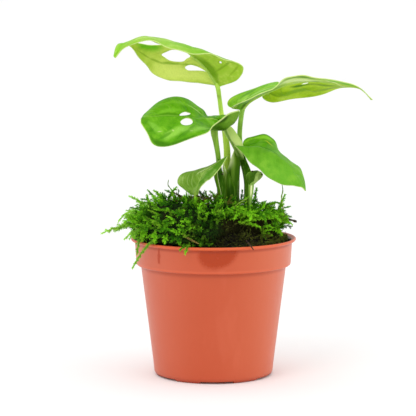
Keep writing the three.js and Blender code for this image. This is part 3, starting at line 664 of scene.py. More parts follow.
def moss_bmesh():
    bm = bmesh.new()
    bm.verts.layers.float.new("tip")
    bm.verts.layers.float.new("tone")
    return bm


def grow_sprig(length, branches, branch_length, leaf, arch, curl, stem=0.34):
    """One sprig along +X in millimetres, then arched upwards and curled sideways."""
    bm = moss_bmesh()
    tip = bm.verts.layers.float["tip"]
    ahead = Vector((1, 0, 0))
    for part in range(3):
        set_stem(bm, tip, ahead * length * part / 3, ahead, length / 3, stem * (1 - 0.2 * part))
    clothe(bm, tip, Vector((0, 0, 0)), ahead, length, leaf, 0.1)
    side_leaf = (leaf[0] * 0.85, leaf[1] * 0.9)
    for branch in range(branches):
        share = 0.1 + 0.78 * (branch + chance.random() * 0.6) / max(branches, 1)
        swing = chance.uniform(0.55, 1.0)
        roll = branch * math.pi + chance.uniform(-0.9, 0.9)
        across = math.sin(swing)
        aside = Vector((math.cos(swing), across * math.cos(roll), across * math.sin(roll)))
        reach = branch_length * (1.1 - 0.75 * share) * chance.uniform(0.7, 1.2)
        set_stem(bm, tip, ahead * length * share, aside, reach, stem * 0.6)
        clothe(bm, tip, ahead * length * share, aside, reach, side_leaf, 0.3)
    for vert in bm.verts:
        share = vert.co.x / length
        vert.co.z += arch * 4 * share * (1 - share)
        vert.co.y += curl * share * share
    return mesh_from(bm, "sprig")


# %% [markdown]
# A sprig that would reach past the model's box at the front or the back is made smaller, and its
# copy is joined to the bmesh of the piece that it belongs to.

# %% Planting a sprig
MOSS_LIMIT_Y = 61.5
SPRIG_LENGTH = 14


def lean_out(heading, rise):
    flat = math.cos(rise)
    return Vector((math.cos(heading) * flat, math.sin(heading) * flat, math.sin(rise)))


def plant_sprig(bm, mesh, root, heading, size=1.0, roll=0.0):
    """Adds a copy of a sprig to a bmesh, its root in metres and its stem along the heading."""
    end = root + heading.normalized() * SPRIG_LENGTH * size * MM
    overshoot = max(abs(end.y) / MM - MOSS_LIMIT_Y, 0)
    size *= 1 - min(overshoot / SPRIG_LENGTH, 0.6)
    turn = heading.to_track_quat("X", "Z").to_matrix().to_4x4()
    place = Matrix.Translation(root) @ turn @ Matrix.Rotation(roll, 4, "X")
    place = place @ Matrix.Scale(size * MM, 4)
    copy = mesh.copy()
    copy.transform(place)
    before = len(bm.verts)
    bm.from_mesh(copy)
    bpy.data.meshes.remove(copy)
    bm.verts.ensure_lookup_table()
    tone_layer = bm.verts.layers.float["tone"]
    tone = chance.random()
    for index in range(before, len(bm.verts)):
        bm.verts[index][tone_layer] = tone


def plant_any(bm, kinds, root, heading, rises, sizes):
    """Plants one of several kinds of sprig, tilted, scaled and rolled by chance."""
    plant_sprig(bm, chance.choice(kinds), root, lean_out(heading, chance.uniform(*rises)),
                chance.uniform(*sizes), chance.uniform(-math.pi, math.pi))


BUSHY_LEAF = (2.0, 0.3)
SLIM_LEAF = (1.8, 0.28)
bushy = [grow_sprig(chance.uniform(10, 15), 5, 4.6, BUSHY_LEAF, chance.uniform(0.5, 2),
                    chance.uniform(-2, 2)) for _ in range(8)]
slim = [grow_sprig(chance.uniform(9, 14), 2, 3.2, SLIM_LEAF, chance.uniform(0.5, 2.5),
                   chance.uniform(-3, 3)) for _ in range(5)]
print("A bushy sprig has", len(bushy[0].polygons), "faces, a slim one", len(slim[0].polygons))

# %% [markdown]
# Two layers of sprigs cover the whole cushion, the lower one in a green darkened with painted
# shade. Borders of sprigs follow a stretch of the rim each: they fringe the brim at the front and
# the left, lie low over the rim at the left, hang above the bare spot and close the cushion at the
# right. A few brown ones lie tangled at the crown.

# %% The cushion
GOLDEN_ANGLE = math.pi * (3 - math.sqrt(5))


def cushion(count, kinds, sink, rises, share_power, swing_width, offset):
    """Sprigs spread evenly over the cushion, each leaning outwards and up."""
    bm = moss_bmesh()
    for n in range(count):
        share = ((n + 0.5) / count) ** share_power
        heading = n * GOLDEN_ANGLE + offset
        # Where the peat lies bare, no sprigs stand at the brim
        if share > 0.8 and moss_reach(heading) < MOSS_RADIUS - 6:
            continue
        root = moss_surface(heading, share * 0.93, sink)
        swing = heading + chance.uniform(-swing_width, swing_width)
        rise = chance.uniform(*rises) * (1.15 - 0.7 * share)
        plant_sprig(bm, chance.choice(kinds), root, lean_out(swing, rise),
                    chance.uniform(0.65, 1.05), chance.uniform(-math.pi, math.pi))
    return bm


def on_skin(*shares):
    """Roots on the cushion's skin, between two shares of the way from its crown to its brim."""
    return lambda heading: moss_surface(heading, chance.uniform(*shares), 1.5)


def beside_rim(radii, heights):
    """Roots between two radii and two heights."""
    def root_at(heading):
        return around_pot(heading, chance.uniform(*radii), chance.uniform(*heights)) * MM
    return root_at


def border(count, low, high, root_at, kinds, rises, swing_width, sizes):
    """Sprigs along a stretch of the rim, between two headings in degrees."""
    bm = moss_bmesh()
    for n in range(count):
        heading = math.radians(low + (high - low) * (n + chance.random()) / count)
        root = root_at(heading)
        swing = heading + chance.uniform(-swing_width, swing_width)
        plant_any(bm, kinds, root, swing, rises, sizes)
    return bm


moss_bright = living_moss("moss_bright", (14, 38, 0), (54, 126, 6), (140, 214, 34))
# The lower layer is the same moss, darkened with painted shade
moss_in_shade = living_moss("moss_in_shade", (6, 18, 0), (28, 76, 4), (84, 156, 18))
moss_brown = living_moss("moss_brown", (22, 16, 6), (62, 52, 18), (104, 110, 36))
make_piece(moss_core(), "moss_core", [moss_shade()], ["moss_green"], 80)
every = bushy + slim
# How wide the sprigs of a border swing about, and their sizes
FRINGE = (0.8, (0.6, 0.95))
LOW = (1.3, (0.45, 0.72))
# Each piece: its finish, the function that grows it and what that takes
for name, finish, grow, row in [
        ("moss_lower_sprigs", moss_in_shade, cushion,
         (220, bushy, 3.0, (-0.3, 0.9), 0.5, 1.5, 0.0)),
        ("moss_upper_sprigs", moss_bright, cushion,
         (230, every, 1.5, (-0.2, 1.1), 0.55, 1.2, 1.3)),
        ("moss_front_fringe", moss_bright, border,
         (70, -112, 30, on_skin(0.55, 0.82), bushy, (-0.2, 0.3), *FRINGE)),
        ("moss_left_fringe", moss_bright, border,
         (60, 95, 265, on_skin(0.7, 0.97), every, (-0.4, 0.5), *FRINGE)),
        ("moss_rim_sprigs", moss_bright, border,
         (150, 140, 266, beside_rim((46, 54), (101, 108)), every, (-0.15, 0.5), *LOW)),
        ("moss_overhang", moss_bright, border,
         (60, -80, -10, beside_rim((24, 30), (113, 121)), every, (-0.25, 0.5), *LOW)),
        ("moss_right_fringe", moss_bright, border,
         (44, -34, 14, beside_rim((36, 43), (104, 112)), every, (-0.4, 0.4), *LOW)),
        ("moss_brown_tangle", moss_brown, border,
         (70, 180, 300, beside_rim((4, 26), (125, 130)), slim, (-0.1, 0.9), *LOW))]:
    make_piece(grow(*row), name, [finish])

# %% [markdown]
# Some sprigs are placed one by one: the long sprays that reach out over the rim at the left, two
# that hang down over the band, and a few that make the cushion's outline at the top and right.
# Each row is a root and a tip in millimetres, how far the spray arches up between them, how many
# side sprigs it has and how long these are. Light falls through the first ones, which stand free
# at the left, so their green is paler.

# %% Sprays placed one by one
LONG_SPRAYS = 12
SPRAY_LEAF = (2.6, 0.38)
SPRAYS = [
    (-50, -12, 110, -81, -14, 104.5, 2.5, 14, 6.0), (-52, -11, 111, -71, -15, 106, 3.0, 10, 5.0),
    (-44, -5, 120, -61, -8, 131, 1.0, 9, 4.5), (-46, 4, 119, -49, 5, 131, 0.5, 6, 4.0),
    (-32, 0, 121, -44, -3, 135, 1.5, 9, 3.5), (-50, -8, 118, -69, -10, 112, 5.0, 8, 4.0),
    (-48, -14, 116, -64, -17, 116, 3.0, 8, 4.0), (-50, -29, 106.5, -54, -35, 92.5, 2.0, 7, 3.5),
    (-41, -42, 105, -57.5, -45, 83.5, 1.5, 7, 2.4), (-50, -18, 108, -64, -22, 101, 2.0, 4, 5.0),
    (-46, -26, 109, -60, -33, 103, 2.5, 4, 5.0), (4, -16, 128, -3, -17, 136, 0.5, 3, 3.0),
    (14, -24, 117, 3, -37, 117, 2.5, 5, 3.5), (20, -22, 118, 14, -37, 118, 2.5, 5, 3.5),
    (24, -18, 119, 26, -36, 117, 3.0, 5, 3.5), (28, -18, 119, 38, -33, 116, 3.0, 5, 3.5),
    (33, -14, 118, 48, -25, 115, 3.0, 5, 3.5), (14, -24, 119, 32, -27, 119, 1.5, 6, 4.0),
    (38, -22, 116, 20, -27, 114, 1.5, 6, 4.0), (16, -23, 113, 33, -28, 111, 1.5, 6, 4.0),
    (20, -22, 118, 31, -25, 122, 0.5, 6, 3.0), (42, -16, 117, 28, -25, 118, 1.5, 6, 4.0),
    (-50, -18, 109, -57, -23, 102.6, 2.0, 6, 4.5), (-46, -28, 108, -50, -37, 102.6, 2.0, 6, 4.5),
    (-42, -34, 108, -41, -47, 102.6, 2.0, 6, 4.5), (-34, -40, 107, -34, -52, 102.6, 2.0, 6, 4.5),
    (-28, -44, 107, -23, -56, 102.6, 2.0, 6, 4.5), (-16, -46, 106, -9, -57, 102.6, 2.0, 6, 4.5),
    (-50, -10, 109, -60, -13, 104, 2.0, 6, 4.5), (-44, -16, 112, -52, -33, 106, 3.0, 5, 3.5),
    (-34, -22, 118, -18, -36, 117, 3.0, 5, 3.5), (-24, -28, 118, -38, -40, 112, 3.0, 5, 3.5),
    (29, -13, 124, 31, -14, 138, 0.0, 5, 3.5), (46, -5, 118, 52, -5, 132, 0.5, 4, 5.0),
    (36, 0, 122, 50, -2, 125, 2.0, 4, 4.0), (41, -12, 114, 57, -14, 111, 2.0, 5, 5.0),
    (-47, -29, 112, -30, -43, 111, 3.0, 5, 4.5), (-10, -34, 119, 4, -38, 121, 1.5, 5, 5.0),
    (-33, 2, 126, -27, 0, 137, 1.0, 3, 4.0), (-12, -52, 103, -24, -57.5, 98.5, 1.0, 2, 3.0),
    (-17, -55, 103, -19.5, -59.5, 95.5, 0.6, 2, 2.0), (-13, -22, 119, -14, -27, 132, 0.5, 5, 5.0),
    (-20, -18, 120, -8, -20, 127, 0.5, 7, 4.0), (-5, -18, 120, -18, -20, 127.5, 0.5, 7, 4.0),
    (-13, -18, 120, -12, -20, 130, 0.5, 7, 4.0), (43, -4, 110, 49, -6, 102.5, 1.0, 7, 4.0),
    (42, 3, 109, 49, 3, 102, 1.0, 7, 4.0), (44, -10, 109, 49, -14, 103, 1.0, 7, 4.0),
    (40, 8, 112, 50, 10, 106, 1.0, 7, 4.0), (-19, -20, 120, -22, -24, 132, 0.5, 5, 5.0),
    (-8, -22, 119, -5, -26, 130, 0.5, 5, 5.0), (-26, -12, 122, -30, -15, 133, 1.0, 5, 5.0),
    (-38, -6, 120, -40, -8, 133, 1.0, 5, 5.0), (18, -24, 118, 20, -30, 122, 1.0, 5, 4.5),
    (40, 20, 112, 55, 22, 113, 2.5, 5, 5.0), (-30, 38, 112, -44, 48, 112, 2.5, 5, 5.0),
    (10, 48, 110, 14, 61, 108, 2.0, 4, 5.0),
]


def sprays(rows):
    bm = moss_bmesh()
    for *places, arch, branches, branch_length in rows:
        start = Vector(places[:3]) * MM
        run = Vector(places[3:]) * MM - start
        mesh = grow_sprig(run.length / MM, branches, branch_length, SPRAY_LEAF, arch,
                          chance.uniform(-1, 1), 0.5)
        plant_sprig(bm, mesh, start, run)
    return bm


moss_lit = living_moss("moss_lit", (40, 86, 4), (96, 160, 26), (170, 228, 80))
make_piece(sprays(SPRAYS[:LONG_SPRAYS]), "moss_long_sprays", [moss_lit])
make_piece(sprays(SPRAYS[LONG_SPRAYS:]), "moss_sprays", [moss_bright])

# %% [markdown]
# ## Petioles and twigs
# A petiole is a long, slightly flattened stalk that widens into a sheath at its foot. It is a
# ring that is extruded from station to station and turned and scaled at each, which gives full
# control of its width. A station is x, y, z, half width and, where it differs, half depth. A twig
# is made the same way, with a rough bark.


# %% Stalk finish
def stalk_finish(name, foot, middle, top, foot_z, middle_z, top_z):
    """Darker at the foot, paler towards the leaf, with fine lengthwise lines."""
    finish = Finish(name, Roughness=0.42, IOR=1.42, Specular_IOR_Level=0.12)
    place = finish.place()
    z = finish.split(place)[2]
    lines = finish.noise(finish.stretched(place, (1300, 1300, 24)), 1.0, 3, 0.6)
    broad = finish.noise(finish.stretched(place, (260, 260, 30)), 1.0, 2)
    rising = finish.smooth(z + (broad - 0.5) * 0.012, foot_z, middle_z)
    finish.base = finish.mix(rising, foot, middle)
    finish.paint(finish.smooth(z, middle_z, top_z), top)
    finish.paint(finish.smooth(lines, 0.45, 0.75) * 0.35, (206, 226, 140))
    finish.paint(finish.smooth(broad, 0.5, 0.35) * 0.3, foot)
    finish.paint(finish.smooth(finish.noise(place, 1500, 2), 0.7, 0.76) * 0.35, (70, 80, 20))
    return finish.finished(lines, 0.0003, 0.5, Roughness=0.32 + lines * 0.16)


# %% Stalk shape
def station_frame(path, sizes, share, upright):
    """Where a ring of a stalk lies: its place, turned along the path, with its two half widths."""
    step = 0.01
    before, after = through(path, max(share - step, 0)), through(path, min(share + step, 1))
    ahead = (after - before).normalized()
    side = (upright - ahead * upright.dot(ahead)).normalized()
    front = ahead.cross(side)
    size = through(sizes, share)
    columns = (side * size.x, front * size.y, ahead)
    turn = Matrix([[columns[c][r] for c in range(3)] for r in range(3)]).to_4x4()
    return Matrix.Translation(through(path, share) * MM) @ turn @ Matrix.Diagonal((MM, MM, 1, 1))


def extrude_stalk(bm, stations, rings, sides, upright=Vector((1, 0, 0))):
    """Extrudes a ring along its stations."""
    path = [station[:3] for station in stations]
    sizes = [(station[3], station[-1], 0) for station in stations]
    verts = bmesh.ops.create_circle(bm, cap_ends=True, segments=sides, radius=1)["verts"]
    # Each edge of the ring once, in the order in which they come
    edges = list(dict.fromkeys(edge for vert in verts for edge in vert.link_edges))
    here = station_frame(path, sizes, 0, upright)
    bmesh.ops.transform(bm, matrix=here, verts=verts)
    for ring in range(1, rings + 1):
        there = station_frame(path, sizes, ring / rings, upright)
        made = bmesh.ops.extrude_edge_only(bm, edges=edges)["geom"]
        verts = [part for part in made if isinstance(part, bmesh.types.BMVert)]
        known = set(verts)
        edges = [part for part in made if isinstance(part, bmesh.types.BMEdge)
                 and part.verts[0] in known and part.verts[1] in known]
        bmesh.ops.transform(bm, matrix=there @ here.inverted(), verts=verts)
        here = there
    bmesh.ops.contextual_create(bm, geom=edges)


def stalk_bmesh(stations, rings, sides=20, upright=Vector((1, 0, 0))):
    bm = bmesh.new()
    extrude_stalk(bm, stations, rings, sides, upright)
    bmesh.ops.recalc_face_normals(bm, faces=bm.faces)
    return bm


# %% The petioles
FOOT_Z = 97
STALK_TALL = [
    (10.6, 0, FOOT_Z, 3.4, 3), (10.6, 0, 112, 3.4, 3), (10.6, 0, 130, 3.4, 3),
    (10.6, 1, 142, 3.1, 2.8), (10, 3, 154, 2.6, 2.3), (9.7, 4.4, 165, 2.4, 2.1),
    (8, 6, 178, 2, 1.9), (5.8, 6, 190, 1.7, 1.8), (4.3, 3.6, 201, 1.6, 1.7),
    (3.2, 0.2, 208.5, 1.7, 1.5), (1.6, -0.8, 212.5, 1.3, 1.1),
]
STALK_BRANCH = [
    (8, 5, 179.5, 1.6), (8.6, 2.6, 180.8, 2.6, 2.1), (10.4, -0.8, 178.6, 3.6, 2.4),
    (13.4, -3.2, 174.4, 3.9, 2.5), (17, -5.6, 169.6, 3.6, 2.2), (19.8, -7.4, 166.4, 2.4, 1.6),
    (23.2, -9, 165, 1, 0.9),
]
STALK_MID_LEFT = [
    (5.4, -9, FOOT_Z, 2.2), (5.4, -9, 112, 2.4), (5.2, -8.8, 131, 2.6, 2.4), (4.4, -8.4, 142, 2.2),
    (3.9, -8.4, 152, 1.8, 1.9), (3.2, -9, 161, 1.8, 1.9), (1.6, -9.8, 171, 2.1, 1.9),
    (0.5, -9.6, 178, 2.7, 2), (1.4, -8.4, 183, 2.8, 1.8), (2.4, -7.6, 185.6, 1.6, 1.2),
]
STALK_RIGHT = [
    (25, 1, FOOT_Z, 2.7, 2.6), (25, 1, 112, 2.7), (25, 1, 129, 2.7, 2.8),
    (24.8, 1.6, 140, 2.7, 2.6), (23, 3, 150, 2.6, 2.3), (20, 4.6, 160, 2.7, 2),
    (19, 4.8, 171, 1.9, 1.8), (19.2, 4, 180, 1.8, 1.7), (20, 2.8, 187.5, 1.8, 1.7),
    (20.8, 1.4, 192.5, 1.8, 1.6), (22.6, 0.6, 196.4, 1.4, 1.1),
]
SHEATH_MIDDLE = [
    (16.6, -2.6, FOOT_Z, 2.2), (16.6, -2.6, 112, 2.2, 2.3), (16.7, -2.6, 130, 2.1, 2.3),
    (16.9, -2.8, 143, 2), (16.8, -2.8, 153, 1.5), (16.2, -3, 161, 0.3),
]
STALK_SMALL = [
    (-12.4, -15, FOOT_Z, 1.5), (-12.6, -15.2, 112, 1.5), (-13, -15.8, 125, 1.6, 1.5),
    (-13, -16, 131, 1.5, 1.3), (-12.6, -16.6, 135, 0.9, 0.8),
]
STALK_YOUNG = [
    (25, -11, FOOT_Z, 1.2), (25.2, -14.6, 112, 1.1), (25.7, -19.8, 122.5, 0.8),
    (26.1, -21.4, 128, 1.1, 1), (26.5, -22, 133, 1.5, 1.2), (26.8, -22.2, 138, 1.9, 1.4),
    (26.9, -22.4, 141.6, 2, 1.2), (27.6, -22.7, 143.4, 1.2, 0.8),
]


def slit_stalk():
    """The young petiole is a channel: pale and translucent along the middle of its front."""
    finish = Finish("young_petiole_skin", Roughness=0.4, IOR=1.42)
    place = finish.place()
    x, _, z = finish.split(place)
    lines = finish.noise(finish.stretched(place, (1500, 1500, 26)), 1.0, 3)
    finish.base = finish.mix(finish.smooth(z, 0.122, 0.138), (92, 134, 34), (132, 176, 62))
    finish.paint(finish.smooth(lines, 0.4, 0.7) * 0.4, (74, 120, 26))
    off_slit = abs(x - 0.0269 + (0.138 - z) * 0.06)
    slit = finish.fading(off_slit, 0.0003, 0.0008) * finish.band(z, 0.131, 0.136, 0.1398, 0.1412)
    finish.paint(slit, (232, 240, 176))
    return finish.finished(lines - slit * 0.6, 0.0004, 0.5)


# Each skin: its colours at the foot, in the middle and at the top, and these heights in metres
SKINS = {name: stalk_finish(name + "_skin", *row) for name, *row in [
    ("petiole_tall", (66, 108, 2), (182, 218, 72), (202, 238, 98), 0.128, 0.153, 0.192),
    ("petiole_branch", (138, 182, 56), (210, 234, 138), (158, 198, 72), 0.160, 0.168, 0.19),
    ("petiole_side", (36, 78, 0), (118, 170, 40), (154, 198, 72), 0.125, 0.156, 0.19),
    ("petiole_right", (36, 78, 0), (68, 118, 10), (138, 188, 64), 0.13, 0.158, 0.176),
    ("petiole_pale", (96, 140, 24), (146, 188, 56), (160, 200, 74), 0.11, 0.125, 0.14),
    ("rib", (132, 176, 62), (160, 200, 84), (172, 208, 84), 0.12, 0.165, 0.21),
    ("fine_stem", (110, 136, 40), (160, 194, 74), (88, 134, 36), 0.118, 0.126, 0.138)]}
for name, stations, rings, skin, nodes in [
        ("petiole_tall", STALK_TALL, 70, SKINS["petiole_tall"], ["petiole_tall_branched"]),
        ("petiole_branch", STALK_BRANCH, 40, SKINS["petiole_branch"], []),
        ("petiole_left", STALK_MID_LEFT, 60, SKINS["petiole_side"], ["petiole_mid_left"]),
        ("petiole_far_right", STALK_RIGHT, 60, SKINS["petiole_right"], ["petiole_right"]),
        ("sheath_pointed", SHEATH_MIDDLE, 50, SKINS["petiole_right"], ["sheath_middle"]),
        ("petiole_small_leaf", STALK_SMALL, 30, SKINS["petiole_pale"], ["petiole_small"]),
        ("petiole_young_leaf", STALK_YOUNG, 40, slit_stalk(), ["petiole_young"])]:
    make_piece(stalk_bmesh(stations, rings), name, [skin], nodes, 60)

# %% [markdown]
# ## Sheaths
# At its foot each petiole is wrapped in thin sheaths, which overlap like the leaves of a leek.
# Their margins are paler than their backs, and some end in a point. A sheath is a small grid that
# is stretched between a left and a right margin and stands forward in the middle. A Solidify
# modifier gives it its thickness. Its own UV map tells the finish where the margins are.


# %% Sheath finish and shape
def sheath_skin(name, foot, body, left_edge, right_edge, pale=(214, 230, 160), pale_from=0.0,
                right_shade=0.0, edge_width=0.2):
    finish = Finish(name, Roughness=0.45, IOR=1.42, Specular_IOR_Level=0.06)
    along, across, _ = finish.split(finish.sheet_uv())
    place = finish.place()
    lines = finish.noise(finish.stretched(place, (1300, 1300, 24)), 1.0, 3)
    broad = finish.noise(finish.stretched(place, (420, 420, 36)), 1.0, 2)
    finish.base = finish.mix(finish.smooth(along + (broad - 0.5) * 0.5, 0.2, 0.85), foot, body)
    finish.paint(finish.smooth(lines, 0.45, 0.75) * 0.3, (150, 190, 80))
    finish.paint(finish.smooth(broad, 0.5, 0.3) * 0.4, foot)
    left = finish.fading(across, 0.03, edge_width) * left_edge
    right = finish.smooth(across, 1 - edge_width, 0.97) * right_edge
    finish.paint(left.larger(right) * finish.smooth(along, pale_from, pale_from + 0.25), pale)
    # Painted shade darkens the right side
    finish.paint(finish.smooth(across, 0.35, 0.8) * right_shade, foot)
    return finish.finished(lines, 0.0003, 0.5)


def thicken(piece, thickness, side_slots=0):
    """A Solidify modifier, which may give the second face and the rim materials of their own."""
    wall = piece.modifiers.new("thickness", "SOLIDIFY")
    wall.thickness = thickness
    wall.offset = 0
    wall.use_even_offset = False
    wall.material_offset = side_slots
    wall.material_offset_rim = 2 * side_slots
    return piece


def flat_grid(rows, columns):
    """A grid from -1 to 1, on which x is the way along a sheet and y the way across it."""
    bm = bmesh.new()
    bmesh.ops.create_grid(bm, x_segments=rows, y_segments=columns, size=1)
    return bm


def keep_uv(bm):
    """Stores the flat place as a UV map, before the grid is bent."""
    uv = bm.loops.layers.uv.new("UVMap")
    for face in bm.faces:
        for loop in face.loops:
            loop[uv].uv = (loop.vert.co.x / 2 + 0.5, loop.vert.co.y / 2 + 0.5)


def sheath_sheet(name, bulge, left, right, skin):
    """A thin sheet between two margins, point first, that stands forward between them."""
    bm = flat_grid(50, 18)
    keep_uv(bm)
    for vert in bm.verts:
        down, over = (1 - vert.co.x) / 2, (vert.co.y + 1) / 2
        point = through(left, down).lerp(through(right, down), over)
        point.y -= bulge * 4 * over * (1 - over) * (0.35 + 0.65 * down)
        vert.co = point * MM
    piece = make_piece(bm, name, [sheath_skin(*skin)], (), 180)
    thicken(piece, 0.45 * MM)


# Each sheath: how far it bulges, its left and right margins from the point down, and its skin
SHEATHS = [
    ("sheath_left_strip", 0.8,
     [(2.3, -10, 158), (1.3, -10, 150.5), (0.5, -10.5, 145.5), (2.1, -11, 139),
      (3.6, -11.5, 131.5), (4.2, -11.5, 112)],
     [(3.2, -11, 158), (3.0, -11.5, 150.5), (3.2, -12, 145.5), (4.3, -12.3, 139),
      (5.6, -12.5, 131.5), (6, -12.5, 112)],
     ("sheath_strip_skin", (84, 134, 14), (108, 156, 34), 0.0, 0.95)),
    ("sheath_left_dark", 1.4,
     [(2.8, -10.6, 158), (2.8, -11, 151.9), (3, -11.2, 145.4), (4.2, -11.4, 139),
      (5.4, -11.6, 131.4), (6, -11.6, 112)],
     [(4.6, -9.5, 158), (5.6, -8.6, 151.9), (7.2, -8.4, 145.4), (8.6, -8.6, 139), (9.4, -9, 133),
      (9.8, -9, 112)],
     ("sheath_dark_skin", (52, 98, 0), (38, 82, 0), 0.0, 0.35, (120, 164, 40))),
    # The broad sheath's skin is darkened on its right side with painted shade
    ("sheath_broad", 2.6,
     [(15, -5.2, 164.2), (13.4, -5.2, 160.2), (12.2, -5, 156.6), (11.2, -4.8, 152.9),
      (9.4, -4.6, 148.5), (8.6, -4.8, 143.4), (8.8, -5, 137.6), (9.2, -5, 131.8), (9.4, -5, 112)],
     [(15.2, -5.2, 164.2), (16.3, -5, 161.8), (18.1, -4.4, 158.7), (19.2, -3.8, 155),
      (19, -3.6, 148.5), (18.6, -3.6, 141.3), (18.3, -3.6, 136.9), (17.6, -3.6, 131.1),
      (17.4, -3.6, 112)],
     ("sheath_broad_skin", (54, 100, 0), (132, 172, 50), 1.0, 0.0, (224, 238, 170), 0.5, 0.85,
      0.62)),
    # The dark sheath in front stands where the cluster lies in shade; its colours are painted
    # shade
    ("sheath_dark_front", 1.6,
     [(10.3, -8, 148.5), (9.4, -8, 143.5), (9.2, -8.2, 138), (9.3, -8.4, 132.1), (9.6, -8.4, 112)],
     [(10.7, -8, 148.5), (12.1, -8.2, 145.2), (14.2, -8.2, 140.1), (15.8, -8, 134.3),
      (16.4, -8, 112)],
     ("sheath_deep_skin", (38, 78, 0), (66, 114, 4), 0.1, 0.3, (100, 146, 20))),
    ("sheath_pale_point", 0.8,
     [(7.2, -6.8, 154.4), (6.6, -7, 150.8), (7.1, -7.4, 146), (8, -7.8, 140.5), (8.7, -8, 132)],
     [(7.4, -6.8, 154.4), (8.2, -7, 151.6), (9.3, -7.4, 148.6), (10.3, -7.8, 143),
      (10.6, -8, 132)],
     ("sheath_pale_skin", (64, 108, 4), (176, 204, 100), 1.0, 0.6, (240, 246, 214), 0.42, 0.0,
      0.5)),
    ("sheath_right_dark", 1.4,
     [(16.9, 1.8, 163), (19.6, 1, 155.6), (21.5, -0.4, 149.8), (22.3, -1.2, 144),
      (22.3, -1.6, 136.7), (22.3, -1.8, 112)],
     [(21.3, 1.8, 163), (24.4, 1, 155.1), (26.4, -0.4, 150.5), (27.3, -1.2, 146.4),
      (27.2, -1.6, 138), (27, -1.8, 112)],
     ("sheath_right_skin", (62, 110, 4), (44, 88, 0), 0.0, 0.2, (110, 156, 34))),
    ("petiole_branch_wing", 0.6,
     [(6.6, -2.6, 180.6), (9, -4.2, 175.6), (11.3, -5.8, 171.4), (13.8, -7, 166.6),
      (16.1, -6.4, 161.8), (18.1, -4, 157)],
     [(9.6, -3.8, 180.4), (11.8, -5.6, 175.2), (13.8, -7, 171.4), (17.7, -8.6, 166.6),
      (21.2, -7.8, 161.3), (22.3, -4.6, 157)],
     ("branch_wing_skin", (60, 106, 8), (120, 170, 60), 0.3, 0.95, (206, 228, 138), 0.0, 0.0,
      0.6)),
]
for row in SHEATHS:
    sheath_sheet(*row)

# %% [markdown]
# ## Leaf blades
# A blade hangs on three curves that run from its base to its tip: the midrib and the two margins.
# Each half is a sheet between the midrib and a margin, with a belly that lifts its middle. The
# blade starts as a flat grid, where its natural holes are cut, and is then bent onto the
# curves. The numbers are the same as those of the model, so that the blade stays where it is.
# A hole is an outline of places along and across the blade.

# %% The curves of the blades
def belly(count, lifts):
    """How far a belly lifts each of its stations: not at all, except where it is given."""
    return [lifts.get(station, (0, 0, 0)) for station in range(count)]


